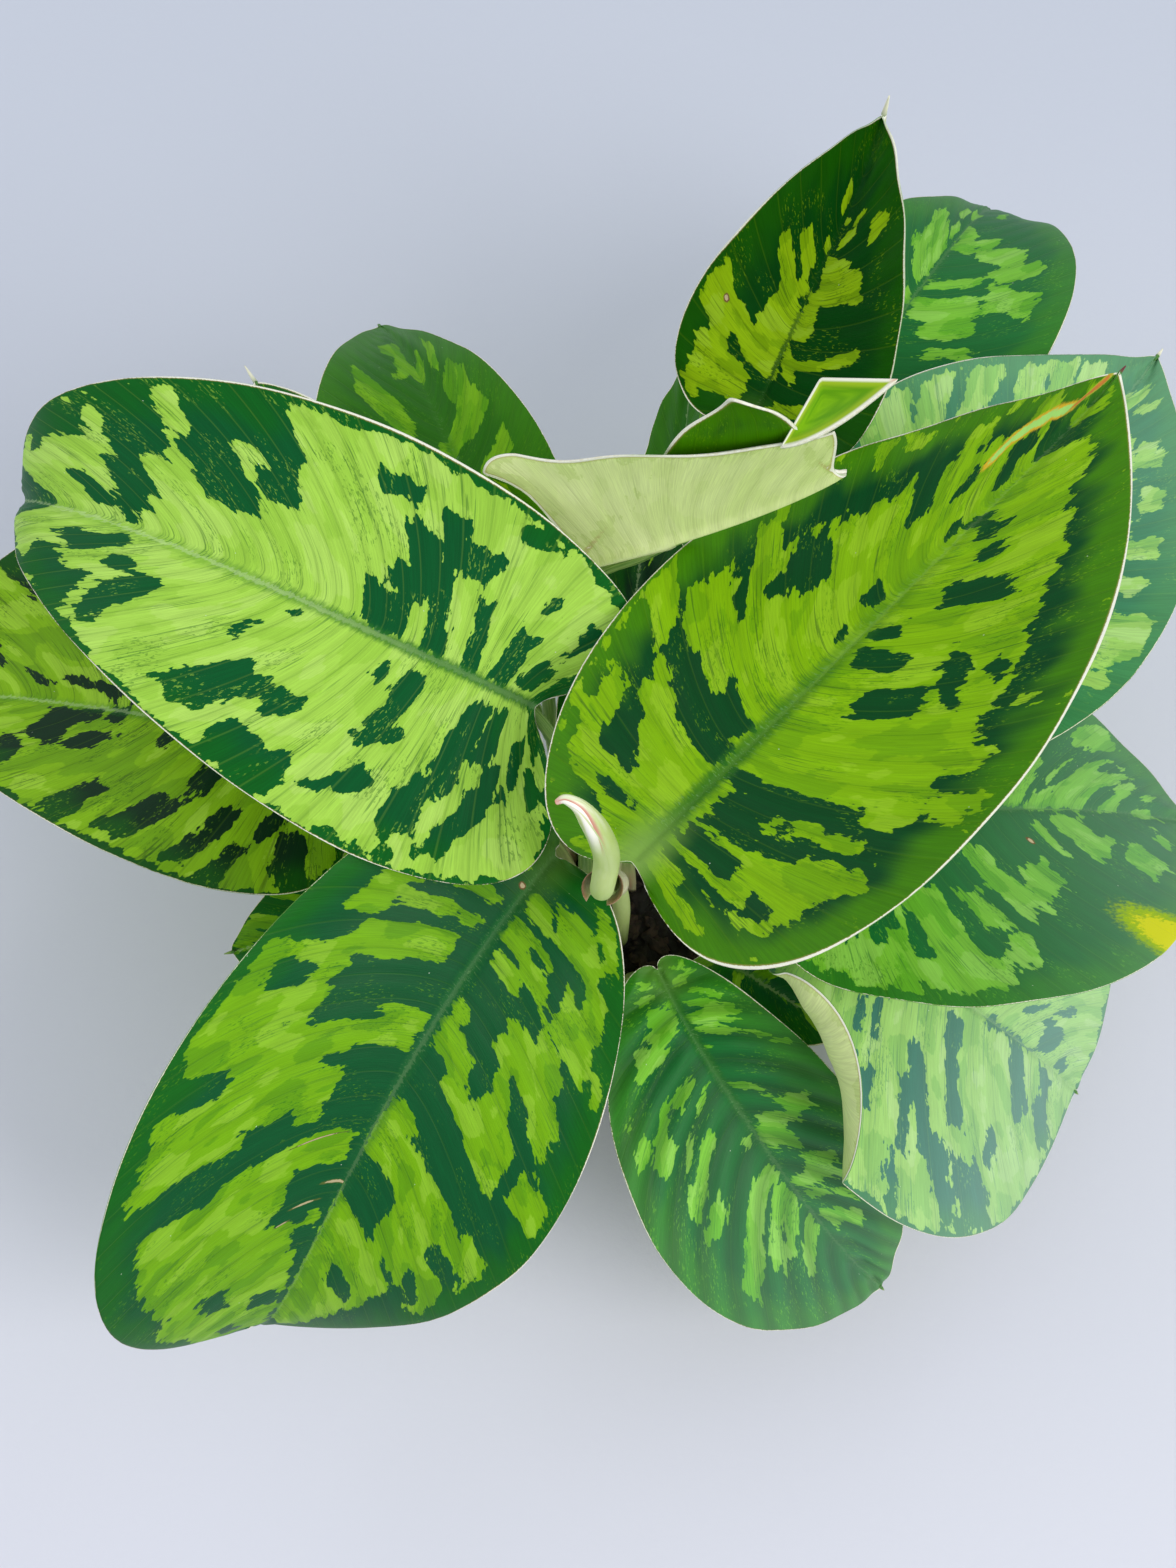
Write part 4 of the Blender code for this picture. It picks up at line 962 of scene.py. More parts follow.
def tube_faces(rings, sides):
    """Faces of a closed tube whose points are its rings and then the middles of its ends."""
    index = np.arange(rings * sides).reshape(rings, sides)
    a, b = index[:-1], index[1:]
    faces = np.stack([a, np.roll(a, -1, 1), np.roll(b, -1, 1), b], -1).reshape(-1, 4).tolist()
    low, high = rings * sides, rings * sides + 1
    faces += [[low, int(y), int(x)] for x, y in zip(index[0], np.roll(index[0], -1))]
    faces += [[high, int(x), int(y)] for x, y in zip(index[-1], np.roll(index[-1], -1))]
    return faces


def link_object(name, data):
    """An object in the scene that holds a mesh, a lamp or a camera."""
    obj = bpy.data.objects.new(name, data)
    bpy.context.scene.collection.objects.link(obj)
    return obj


def add_piece(name, mesh, slot, *replaced):
    """A piece of the plant, and the CAD nodes that it stands for."""
    obj = link_object(name, mesh)
    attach(obj, "root")
    if replaced:
        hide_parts(*replaced)
    return obj


# ================================================================ the blades
def blade_grid(look):
    """For each point of a blade's mesh its s and t, the t of its column before the midrib
    bows, and how far the midrib is bowed there."""
    u = np.linspace(0.0, 1.0, look["rows"])
    s_line = S_BASE + (look["end"] - S_BASE) * (0.8 * u + 0.2 * (1.0 - np.cos(np.pi * u)) / 2.0)
    t_line = np.array([-t for t in reversed(T_STEPS[1:])] + T_STEPS)
    s, column = np.meshgrid(s_line, t_line, indexing="ij")
    s = s * (1.0 - look["shear"] * s * np.abs(column) / look["end"])
    bow = look["bow"] * s ** 1.8
    return s, column + bow * (1.0 - column ** 2), column, bow


def margin_distance(leaf, look, points):
    """Distance of each point of a blade from finely spaced points on its margin, mm."""
    fine = np.linspace(S_BASE, look["end"], 900)
    across = np.linspace(-1.0, 1.0, 300)
    border = [blade_points(leaf, fine, np.full_like(fine, side)) for side in (-1.0, 1.0)]
    border.append(blade_points(leaf, np.full_like(across, S_BASE), across))
    border.append(blade_points(leaf, look["end"] * (1.0 - look["shear"] * np.abs(across)), across))
    border = np.concatenate(border)
    tree = kdtree.KDTree(len(border))
    for k, place in enumerate(border):
        tree.insert(Vector(place), k)
    tree.balance()
    edge = [tree.find(Vector(p))[2] for p in points.reshape(-1, 3)]
    return np.array(edge).reshape(points.shape[:-1])


def surface_normals(points):
    """Unit vectors square to the surface through a grid of points."""
    normal = np.cross(np.gradient(points, axis=0), np.gradient(points, axis=1))
    return normal / np.maximum(np.linalg.norm(normal, axis=-1, keepdims=True), 1e-9)


def blade_relief(look, s, t, across):
    """How far the surface stands off its middle sheet, mm: domes between the side veins, broad
    waves, and short ones along the margin."""
    reach = np.abs(t)
    inner = smooth(reach, 0.03, 0.22) * (1.0 - smooth(reach, 0.72, 1.0))
    dome = np.abs(np.sin(np.pi * across / look["veins"])) - 0.6
    fade = smooth(s, 0.02, 0.16) * (1.0 - smooth(s, 0.86, 0.98))
    relief = look["quilt"] * dome * inner * fade
    relief += 0.55 * soft_noise(s * 3.0, t * 1.4, look["seed"]) * smooth(reach, 0.0, 0.5)
    relief += 0.45 * soft_noise(s * 9.0 + np.sign(t) * 5.0, 0.0 * t, look["seed"] + 0.5) \
        * smooth(reach, 0.75, 1.0)
    return relief * look["relief"]


def make_blade(node, leaf, look, materials):
    """The visible blade of a leaf, grooved over its midrib, keeled under it, with a beaded rim."""
    s, t, column, bow = blade_grid(look)
    flat_x, flat_y = blade_plan(leaf, s, t)
    off_rib = np.abs(np.sign(t) * flat_y - np.sign(bow) * blade_plan(leaf, s, bow)[1])
    middle = blade_points(leaf, s, t)
    edge = margin_distance(leaf, look, middle)
    across, along = vein_distances(leaf, s, t)

    groove = np.exp(-(off_rib / 1.3) ** 2) * (1.0 - 0.75 * s) * smooth(s, 0.02, 0.1)
    keel = 1.5 * np.exp(-(off_rib / 1.5) ** 2) * (1.0 - s) ** 0.7
    relief = blade_relief(look, s, t, across) - 0.8 * groove
    rim = np.where(column >= 0.0, *look["rim"]) * smooth(s, 0.0, 0.15)
    rim = rim * (0.85 + 0.35 * soft_noise(s * 6.0 + np.sign(column) * 9.0, 0.0 * s, look["seed"]))
    rim = np.clip(rim, 0.1, 1.3)
    bead = np.maximum(rim - 0.3, 0.0) * 0.5 * np.exp(-(edge / 0.55) ** 2)
    half = BLADE_THICK * (0.45 + 0.55 * smooth(edge, 0.0, 2.5)) / 2.0 + bead
    normal = surface_normals(middle)
    upper = middle + normal * (relief + half)[..., None]
    lower = middle + normal * (relief - half - keel + 0.2 * groove)[..., None]

    half_place = np.where(column >= 0.0, 0.0, RIGHT_HALF)
    reach = np.clip(flat_x / leaf["length"], 0.0, 1.0)
    mesh = sheet_mesh("blade " + node, upper, lower, {
        "vein_place": np.stack([across, along, half_place], -1),
        "plan": np.stack([reach, off_rib, edge], -1),
        "field": lime_field(leaf, look, s, t, edge), "rim": rim}, materials)
    add_piece("patterned_" + node, mesh, "blade", node)


# ================================================================ round pieces along a line
def smooth_line(points, steps):
    """Points (x, y, z, radius) on a smooth curve through the given ones."""
    p = np.array(points, dtype=float)
    p = np.concatenate([[2 * p[0] - p[1]], p, [2 * p[-1] - p[-2]]])
    out = []
    for k in range(1, len(p) - 2):
        for f in np.arange(steps) / steps:
            out.append(0.5 * (2 * p[k] + (p[k + 1] - p[k - 1]) * f
                              + (2 * p[k - 1] - 5 * p[k] + 4 * p[k + 1] - p[k + 2]) * f * f
                              + (3 * p[k] - p[k - 1] - 3 * p[k + 1] + p[k + 2]) * f ** 3))
    out.append(p[-2])
    return np.array(out)


def line_axes(line, towards):
    """At each point of a line its direction, and two directions square to it, the first one
    as near to towards as it can be."""
    along = np.gradient(line[:, :3], axis=0)
    along /= np.linalg.norm(along, axis=1, keepdims=True)
    first = np.asarray(towards, dtype=float) - along * (along @ np.asarray(towards))[:, None]
    first /= np.linalg.norm(first, axis=1, keepdims=True)
    return along, first, np.cross(along, first)


def skin_line(name, line, towards, outline, sides):
    """A closed tube round a line; outline(fraction, angle) gives the share of its radius. Each
    point holds how far it is along the line, mm, the angle round it and the fraction of it."""
    _, first, second = line_axes(line, towards)
    angle = np.linspace(0.0, 2.0 * np.pi, sides, endpoint=False)
    fraction = np.linspace(0.0, 1.0, len(line))
    radius = line[:, 3:4] * outline(fraction[:, None], angle[None, :])
    rings = line[:, None, :3] + (radius * np.cos(angle))[..., None] * first[:, None] \
        + (radius * np.sin(angle))[..., None] * second[:, None]
    verts = np.concatenate([rings.reshape(-1, 3), line[:1, :3], line[-1:, :3]])
    mesh = build_mesh(name, verts, tube_faces(len(line), sides))
    step = np.linalg.norm(np.diff(line[:, :3], axis=0), axis=1)
    length = np.concatenate([[0.0], np.cumsum(step)])
    held = np.stack(np.broadcast_arrays(length[:, None], angle[None, :], fraction[:, None]), -1)
    ends = [[0.0, 0.0, 0.0], [length[-1], 0.0, 1.0]]
    store(mesh, "along", np.concatenate([held.reshape(-1, 3), ends]))
    return mesh


def stem_middle(crown):
    """The middle (x, y) of a stem, mm."""
    low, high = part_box("stem_" + crown)
    return (low[0] + high[0]) / 2.0 / MM, (low[1] + high[1]) / 2.0 / MM


# ================================================================ the stalks
def stalk_line(leaf):
    """The stalk's centre line: up from its foot, then along under the midrib and into it."""
    x, y = stem_middle(leaf["crown"])
    turn = math.radians(leaf["foot"])
    foot = np.array([x + FOOT_RING * math.cos(turn), y + FOOT_RING * math.sin(turn), FOOT_TOP])
    axes = np.array(blade_axes(leaf))
    base = np.array([leaf["x"], leaf["y"], leaf["z"]])
    point, along, _, up = midrib(leaf, np.array(STALK_UNDER / leaf["length"]))
    drop = STALK_DROP + leaf["slack"]
    end = base + (point - up * drop) @ axes
    span = np.linalg.norm(end - foot)
    rise = foot + np.array([0.0, 0.0, leaf["upright"] * span])
    lead = end - (along @ axes) * leaf["lead"] * span
    f = np.linspace(0.0, 1.0, STALK_STEPS)[:, None]
    line = (1 - f) ** 3 * foot + 3 * f * (1 - f) ** 2 * rise + 3 * f * f * (1 - f) * lead \
        + f ** 3 * end
    radius = STALK_FOOT_R + (STALK_TOP_R - STALK_FOOT_R) * f ** 0.6
    # the last stretch rises into the rib and thins out along it
    tail = []
    for k in range(1, STALK_TAIL_STEPS + 1):
        point, _, _, up = midrib(leaf, np.array((STALK_UNDER + STALK_TAIL_STEP * k)
                                                / leaf["length"]))
        depth = drop - (drop - STALK_TAIL_DROP) * smooth(k, 0, STALK_TAIL_STEPS - 1)
        place = base + (point - up * depth) @ axes
        tail.append([*place, STALK_TOP_R * (1.0 - 0.72 * smooth(k, 0, STALK_TAIL_STEPS + 0.5))])
    return np.concatenate([np.concatenate([line, radius], 1), tail])


def stalk_outline(fraction, angle):
    """Grooved above; the lower third carries the two wings of the sheath."""
    from_top = np.minimum(angle, 2 * np.pi - angle)
    groove = 0.16 * np.exp(-(from_top / 0.35) ** 2)
    wing = 0.34 * np.exp(-((from_top - 0.85) / 0.22) ** 2)
    return 1.0 - groove + wing * (1.0 - smooth(fraction, 0.22, 0.5)) + 0.04 * np.cos(angle)


def stalk_material():
    """Green and fibrous, pale at the foot with a pink blush."""
    mat, tree, shader = new_material("stalk skin")
    length, turn, share = parts(tree, attribute(tree, "along", "Vector"))
    fibre = round_noise(tree, length, turn, 0.05, 2.6, 1.6, 4.0, 0.6)
    colour = blend(tree, ramp(tree, fibre, 0.38, 0.62), srgb(96, 138, 54), srgb(146, 176, 92))
    foot = ramp(tree, share, 0.0, 0.34, 1.0, 0.0)
    colour = blend(tree, foot, colour, srgb(214, 206, 164))
    blush = maths(tree, "MULTIPLY", ramp(tree, share, 0.02, 0.2, 0.7, 0.0),
                  ramp(tree, fibre, 0.4, 0.7))
    colour = blend(tree, blush, colour, srgb(206, 138, 116))
    finish(tree, shader, colour, 0.42, fibre, 0.4, 0.0003)
    return mat


# ================================================================ the rolled shoot
def shoot_outline(fraction, angle):
    """The free edge of the rolled blade winds round the shoot as a small step."""
    turn = np.mod(angle - SHOOT_EDGE - SHOOT_TWIST * fraction, 2.0 * np.pi) / (2.0 * np.pi)
    step = np.where(turn > 0.94, (1.0 - turn) / 0.06, turn / 0.94)
    return 0.90 + 0.24 * step * smooth(fraction, 0.45, 0.7)


def shoot_material():
    """Cream to pale green, with a pink tip and a white and pink free edge."""
    mat, tree, shader = new_material("young leaf still rolled")
    length, angle, share = parts(tree, attribute(tree, "along", "Vector"))
    turn = maths(tree, "SUBTRACT", maths(tree, "SUBTRACT", angle, SHOOT_EDGE),
                 maths(tree, "MULTIPLY", share, SHOOT_TWIST))
    tone = round_noise(tree, length, turn, 0.12, 1.4, 1.3, 3.0, 0.5)
    colour = blend(tree, ramp(tree, tone, 0.35, 0.65), srgb(236, 238, 206), srgb(206, 218, 150))
    low = ramp(tree, share, 0.58, 0.82, 0.85, 0.0)
    colour = blend(tree, low, colour, srgb(182, 202, 118))
    # the free edge: a white line, with a pink line beside it that is partly the edge's own pink and
    # partly painted shadow under the overlapping edge
    upper = ramp(tree, share, 0.55, 0.68)
    round_share = maths(tree, "FRACT", maths(tree, "DIVIDE", turn, 2.0 * math.pi))
    pink = maths(tree, "MULTIPLY", ramp(tree, round_share, 0.02, 0.09, 0.9, 0.0), upper)
    colour = blend(tree, pink, colour, srgb(206, 128, 112))
    white = maths(tree, "MULTIPLY", ramp(tree, round_share, 0.86, 0.91), upper)
    colour = blend(tree, white, colour, srgb(250, 246, 232))
    high = ramp(tree, share, 0.90, 0.97, 0.0, 0.85)
    colour = blend(tree, high, colour, srgb(240, 176, 158))
    colour = blend(tree, ramp(tree, share, 0.985, 1.0), colour, srgb(196, 140, 84))
    finish(tree, shader, colour, 0.4, tone, 0.3, 0.0004)
    return mat


# ================================================================ the drawn-out leaf tips
TIP_PLACES = (0.955, 0.972, 0.985)               # its first three points, in s
TIP_RADII = ((0.2,), (0.5,), (0.52,), (0.36,), (0.14,))      # at its five points, mm
TIP_THICK = {"green": 1.0, "cream": 1.3, "red": 1.0}         # how many times as thick


def tip_material(name, end):
    """The blade's green running out into the tip's own tone."""
    mat, tree, shader = new_material(name)
    far = parts(tree, attribute(tree, "along", "Vector"))[2]
    finish(tree, shader, blend(tree, ramp(tree, far, 0.25, 0.75), srgb(70, 124, 40), end), 0.5)
    return mat


def make_tip(node, leaf, look, materials):
    """The short point that a whole blade runs out into, round and thin."""
    length, tone = TIPS.get(node, PLAIN_TIP)
    s = np.array(TIP_PLACES)
    points = blade_points(leaf, s, look["bow"] * s ** 1.8)
    heading = (points[2] - points[0]) / np.linalg.norm(points[2] - points[0])
    line = np.concatenate([points, points[2] + np.outer((0.5, 1.0), heading) * length])
    line = np.concatenate([line, TIP_THICK[tone] * np.array(TIP_RADII)], 1)
    mesh = skin_line("tip " + node, smooth_line(line, 4), (0.1, -0.2, 1.0),
                     lambda fraction, angle: 1.0 + 0.0 * fraction * angle, 12)
    mesh.materials.append(materials[tone])
    add_piece("drawn_out_tip_" + node[-2:], mesh, "blade")


# ================================================================ the folded-over tip
TURNED_START = np.array([29.8, 67.1, 250.5])     # where the near margin starts to turn over
TURNED_MIDDLE = np.array([41.1, 68.5, 256.5])    # half way along its near margin
TURNED_CORNER = np.array([38.9, 81.0, 259.0])    # where the far margin bends
TURNED_END = np.array([55.8, 76.1, 266.5])       # its point
TURNED_LENGTH, TURNED_RIM, TURNED_SAG = 30.0, 0.7, 1.6       # mm
ALL_DARK = -5.0           # the patches' field where the ground is dark, mm


def turned_tip_material():
    """Lime, a little yellow beside the cream rim."""
    mat, tree, shader = new_material("turned leaf tip")
    plan = attribute(tree, "plan", "Vector")
    _, edge, far = parts(tree, plan)
    streak = vein_noise(tree, plan, 3.0, 0.08, 0.5)
    colour = blend(tree, ramp(tree, streak, 0.35, 0.7), srgb(92, 150, 0), srgb(122, 176, 6))
    colour = blend(tree, ramp(tree, edge, 1.0, 3.4, 1.0, 0.0), colour, srgb(158, 186, 34))
    colour = blend(tree, ramp(tree, edge, 0.4, 1.3, 1.0, 0.0), colour, CREAM)
    colour = blend(tree, ramp(tree, far, 0.93, 1.0), colour, srgb(214, 170, 140))
    finish(tree, shader, colour, 0.42)
    shader.inputs["Specular IOR Level"].default_value = SKIN_SHINE
    return mat


def make_turned_tip(under, rim):
    """The end of the half-rolled leaf, folded over so that its upper face shows."""
    rows, cols = 40, 17
    u = np.linspace(0.0, 1.0, rows)[:, None]
    v = np.linspace(0.0, 1.0, cols)[None, :]
    pull = 2.0 * TURNED_MIDDLE - 0.5 * (TURNED_START + TURNED_END)
    near = (1 - u) ** 2 * TURNED_START + 2 * u * (1 - u) * pull + u ** 2 * TURNED_END
    rise, run = np.clip(2.0 * u, 0, 1), np.clip(2.0 * u - 1.0, 0, 1)
    far = TURNED_START + rise * (TURNED_CORNER - TURNED_START) + run * (TURNED_END - TURNED_CORNER)
    wide = np.linalg.norm(far - near, axis=-1)[:, None]
    middle = near[:, None] + v[..., None] * (far - near)[:, None]
    middle[..., 2] -= TURNED_SAG * np.sin(np.pi * v) * np.clip(wide / 12.0, 0, 1)
    normal = surface_normals(middle)
    if normal[rows // 2, cols // 2, 2] < 0.0:
        normal = -normal
    edge = wide * np.minimum(v, 1.4 * (1.0 - v))
    thick = 0.45 + 0.45 * np.exp(-(edge / 0.8) ** 2)
    upper, lower = (middle + side * normal * thick[..., None] / 2.0 for side in (1.0, -1.0))
    plan = np.stack([u * TURNED_LENGTH + 0.0 * v, edge, u + 0.0 * v], -1)
    mesh = sheet_mesh("turned tip", upper, lower, {
        "plan": plan, "rim": np.full_like(edge, TURNED_RIM),
        "field": np.full_like(edge, ALL_DARK), "vein_place": plan},
        (turned_tip_material(), under, rim))
    add_piece("turned_over_tip_12", mesh, "blade")


# ================================================================ pot, soil and stems
# All in mm. R stands for a radius.
POT_HEIGHT, POT_BASE_R, POT_TOP_R, POT_WALL = 95.0, 37.0, 51.0, 1.5
POT_FLOOR = 2.0
RIM_R, RIM_DROP = 53.5, 7.0                      # the rolled rim and its height
RIM_LOW = POT_HEIGHT - RIM_DROP                  # where the rolled rim begins
DRAIN_COUNT, DRAIN_R, DRAIN_RING_R = 6, 4.0, 25.0
SOIL_GAP = 0.3            # between the soil and the pot's wall and floor
FLUTES, FLUTE_DEPTH = 12, 0.55
STEMS = ("rear", "right", "front")
STEM_RINGS, STEM_R = 5, 5.6


def lathe(name, profile, sides, shift):
    """A turned solid from (radius, z) points that start and end on the axis; shift(radius,
    height, angle) gives each point its own radius and height."""
    profile = np.array(profile, dtype=float)
    angle = np.linspace(0.0, 2.0 * np.pi, sides, endpoint=False)
    body = profile[1:-1]
    radius, height = shift(np.repeat(body[:, :1], sides, 1), np.repeat(body[:, 1:], sides, 1),
                           np.broadcast_to(angle, (len(body), sides)))
    rings = np.stack([radius * np.cos(angle), radius * np.sin(angle), height], -1)
    ends = [[0.0, 0.0, profile[0][1]], [0.0, 0.0, profile[-1][1]]]
    return build_mesh(name, np.concatenate([rings.reshape(-1, 3), ends]),
                      tube_faces(len(body), sides))


def pot_wall(z):
    """Radius of the pot's outside at a height."""
    return POT_BASE_R + (POT_TOP_R - POT_BASE_R) / RIM_LOW * z


def pot_flutes(radius, height, angle):
    """Presses shallow upright flutes into the lower part of the pot's outside."""
    outside = (radius > pot_wall(height) - 0.6) & (height > 1.0) & (height < 69.0)
    depth = FLUTE_DEPTH * smooth(height, 3.0, 9.0) * (1.0 - smooth(height, 52.0, 66.0))
    wave = smooth(np.cos(FLUTES * angle), 0.55, 0.95)
    return radius - np.where(outside, depth * wave, 0.0), height


def pot_profile():
    """Foot ring, tapered wall with a stacking step, rolled rim, inside wall and floor."""
    foot = [(0.0, 0.9), (31.5, 0.9), (33.0, 0.7), (33.8, 0.1), (34.4, 0.0), (36.0, 0.0),
            (36.7, 0.4), (pot_wall(1.2) - 0.1, 1.2)]
    wall = [(pot_wall(z), z) for z in np.linspace(3.0, 68.0, 22)]
    step = [(pot_wall(69.0) + 0.1, 69.2), (pot_wall(70.0) + 0.75, 70.0),
            (pot_wall(71.0) + 0.8, 71.2), (pot_wall(78.0) + 0.55, 78.0),
            (pot_wall(86.5) + 0.2, 86.5), (pot_wall(87.6) + 0.3, 87.7)]
    rim = [(RIM_R - 0.9, RIM_LOW + 0.1), (RIM_R - 0.2, RIM_LOW + 0.5), (RIM_R, RIM_LOW + 1.4),
           (RIM_R, 92.8), (RIM_R - 0.25, 94.0), (RIM_R - 0.9, 94.75), (RIM_R - 1.7, 95.0),
           (RIM_R - 2.6, 94.8), (RIM_R - 3.4, 94.2), (RIM_R - 3.8, 93.0)]
    inside = [(pot_wall(z) - POT_WALL, z) for z in (RIM_LOW, 70.0, 40.0, 10.0, 3.4)]
    inside += [(pot_wall(2.0) - POT_WALL - 1.0, POT_FLOOR + 0.2), (30.0, POT_FLOOR),
               (0.0, POT_FLOOR)]
    return foot + wall + step + rim + inside


def drilled(pot):
    """The pot's mesh with its ring of drain holes cut through the floor."""
    holes = bmesh.new()
    for k in range(DRAIN_COUNT):
        turn = 2.0 * math.pi * k / DRAIN_COUNT
        made = bmesh.ops.create_cone(holes, cap_ends=True, segments=40, radius1=DRAIN_R * MM,
                                     radius2=DRAIN_R * MM, depth=4.0 * POT_FLOOR * MM)
        bmesh.ops.translate(holes, verts=made["verts"], vec=(
            DRAIN_RING_R * math.cos(turn) * MM, DRAIN_RING_R * math.sin(turn) * MM, 0.0))
    drills = bpy.data.meshes.new("drain holes")
    holes.to_mesh(drills)
    holes.free()
    cutter = link_object("drain holes", drills)
    cut = pot.modifiers.new("drain holes", "BOOLEAN")
    cut.operation = "DIFFERENCE"
    cut.object = cutter
    cut.solver = "EXACT"
    bpy.context.view_layer.update()
    solved = pot.evaluated_get(bpy.context.evaluated_depsgraph_get())
    done = bpy.data.meshes.new_from_object(solved)
    pot.modifiers.clear()
    bpy.data.objects.remove(cutter, do_unlink=True)
    return done


def pot_material():
    """Black moulded plastic, with dried dirt round its foot and under its rim."""
    mat, tree, shader = new_material("black moulded plastic")
    place = own_place(tree)
    height = parts(tree, place)[2]
    cloud = noise(tree, place, 38.0, 4.0, 0.6)
    dust = noise(tree, place, 420.0, 3.0, 0.65)
    ends = maths(tree, "ADD", ramp(tree, height, 0.0, 0.012, 0.5, 0.0),
                 ramp(tree, height, 0.084, 0.0945, 0.0, 0.3))
    dirt = maths(tree, "ADD", ends, ramp(tree, cloud, 0.5, 0.75, 0.05, 0.4))
    dirt = maths(tree, "MULTIPLY", dirt, ramp(tree, dust, 0.45, 0.68))
    colour = blend(tree, dirt, srgb(27, 28, 29), srgb(84, 72, 58))
    skin = maths(tree, "ADD", noise(tree, place, 2600.0, 2.0, 0.5), dirt)
    finish(tree, shader, colour, ramp(tree, dirt, 0.0, 0.5, 0.36, 0.75), skin, 0.25, 0.0002)
    return mat


def make_pot():
    """The nursery pot."""
    pot = add_piece("nursery_pot", lathe("pot", pot_profile(), 192, pot_flutes), "pot", "pot")
    pot.data = drilled(pot)
    pot.data.materials.clear()
    pot.data.materials.append(pot_material())


def soil_material():
    """Damp, near-black mix with short pale fibres."""
    mat, tree, shader = new_material("damp potting soil")
    place = own_place(tree)
    lumps = noise(tree, place, 260.0, 6.0, 0.7)
    fibres = put(tree, "ShaderNodeTexVoronoi", {"Vector": place, "Scale": 700.0})
    colour = blend(tree, ramp(tree, lumps, 0.35, 0.7), srgb(10, 8, 8), srgb(34, 26, 21))
    colour = blend(tree, ramp(tree, fibres.outputs["Distance"], 0.0, 0.25, 0.5, 0.0), colour,
                   srgb(58, 45, 36))
    finish(tree, shader, colour, ramp(tree, lumps, 0.3, 0.7, 0.7, 0.95), lumps, 0.8, 0.001)
    return mat


def crumb_material(name, dark, light):
    """Rough loose lumps in two tones."""
    mat, tree, shader = new_material(name)
    tone = noise(tree, own_place(tree), 300.0, 5.0, 0.65)
    colour = blend(tree, ramp(tree, tone, 0.35, 0.65), dark, light)
    finish(tree, shader, colour, 0.85, tone, 0.6, 0.0006)
    return mat


def crumbs(name, count, size, flat, seed, mat):
    """Loose irregular lumps resting on the soil, clear of the stems."""
    widest, soil_r, stem_clear, raised = 47.0, 48.0, 7.0, 0.9
    rng = np.random.default_rng(seed)
    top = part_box("soil")[1][2] / MM
    stems = [stem_middle(crown) for crown in STEMS]
    bm = bmesh.new()
    made = 0
    while made < count:
        radius, turn = widest * math.sqrt(rng.uniform()), rng.uniform(0.0, 2.0 * math.pi)
        x, y = radius * math.cos(turn), radius * math.sin(turn)
        big = size * rng.uniform(0.55, 1.4)
        from_stem = min(math.hypot(x - a, y - b) for a, b in stems)
        if radius + big > soil_r or from_stem < stem_clear + big:
            continue
        lump = bmesh.ops.create_icosphere(bm, subdivisions=2, radius=1.0)["verts"]
        stretch = big * np.array([1.0, rng.uniform(0.5, 0.9), flat * rng.uniform(0.7, 1.2)])
        spin, lean = rng.uniform(0.0, 6.28), rng.uniform(-0.35, 0.35)
        freq = rng.uniform(1.0, 2.4, (3, 3))
        turned = Matrix.Rotation(spin, 3, "Z") @ Matrix.Rotation(lean, 3, "X")
        for vert in lump:
            p = np.array(vert.co)
            p = p * (1.0 + 0.22 * np.sin(freq @ p * 2.0 + spin).sum() / 1.7) * stretch
            vert.co = (Vector((x, y, top + raised)) + turned @ Vector(p)) * MM
        made += 1
    mesh = bpy.data.meshes.new(name)
    bm.to_mesh(mesh)
    bm.free()
    mesh.materials.append(mat)
    add_piece(name, mesh, "soil")


def make_soil():
    """The soil's bumpy body, with bark and white grit lying on it."""
    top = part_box("soil")[1][2] / MM
    low = POT_FLOOR + SOIL_GAP
    low_r, top_r = (pot_wall(z) - POT_WALL - SOIL_GAP for z in (low, top))
    profile = [(0.0, low), (low_r * 0.5, low), (low_r, low)]
    profile += [(low_r + (top_r - low_r) * f, low + (top - low) * f) for f in (0.3, 0.6, 0.9, 0.985)]
    profile += [(r, top) for r in np.linspace(top_r - 0.6, 1.0, 44)] + [(0.0, top)]

    def rough(radius, height, angle):
        x, y = radius * np.cos(angle) / 9.0, radius * np.sin(angle) / 9.0
        bumps = 0.7 * soft_noise(x, y, 3.0) + 0.5 * soft_noise(x * 2.7, y * 2.7, 4.0) \
            + 0.35 * soft_noise(x * 6.0, y * 6.0, 5.0)
        bumps *= smooth(top_r - radius, 0.2, 3.0)
        return radius, height + np.where(height > top - 0.01, bumps - 0.4, 0.0)

    mesh = lathe("soil", profile, 144, rough)
    mesh.materials.append(soil_material())
    add_piece("potting_soil", mesh, "soil", "soil")
    bark = crumb_material("bark crumbs", srgb(20, 14, 11), srgb(56, 40, 30))
    grit = crumb_material("white volcanic grit", srgb(196, 192, 182), srgb(232, 230, 222))
    crumbs("bark_crumbs", 150, 2.7, 0.35, 21, bark)
    crumbs("fine_crumbs", 260, 1.2, 0.6, 22, bark)
    crumbs("white_grit", 12, 0.95, 0.85, 23, grit)


def stem_material():
    """Green, with dry brown skin low down."""
    mat, tree, shader = new_material("stem skin")
    place = own_place(tree)
    tone = noise(tree, place, 220.0, 5.0, 0.6)
    colour = blend(tree, ramp(tree, tone, 0.35, 0.65), srgb(98, 122, 58), srgb(158, 166, 98))
    height = maths(tree, "MULTIPLY_ADD", tone, 0.012, parts(tree, place)[2])
    dry = ramp(tree, height, 0.094, 0.104, 0.85, 0.0)
    finish(tree, shader, blend(tree, dry, colour, srgb(124, 92, 62)), 0.6, tone, 0.5, 0.0005)
    return mat


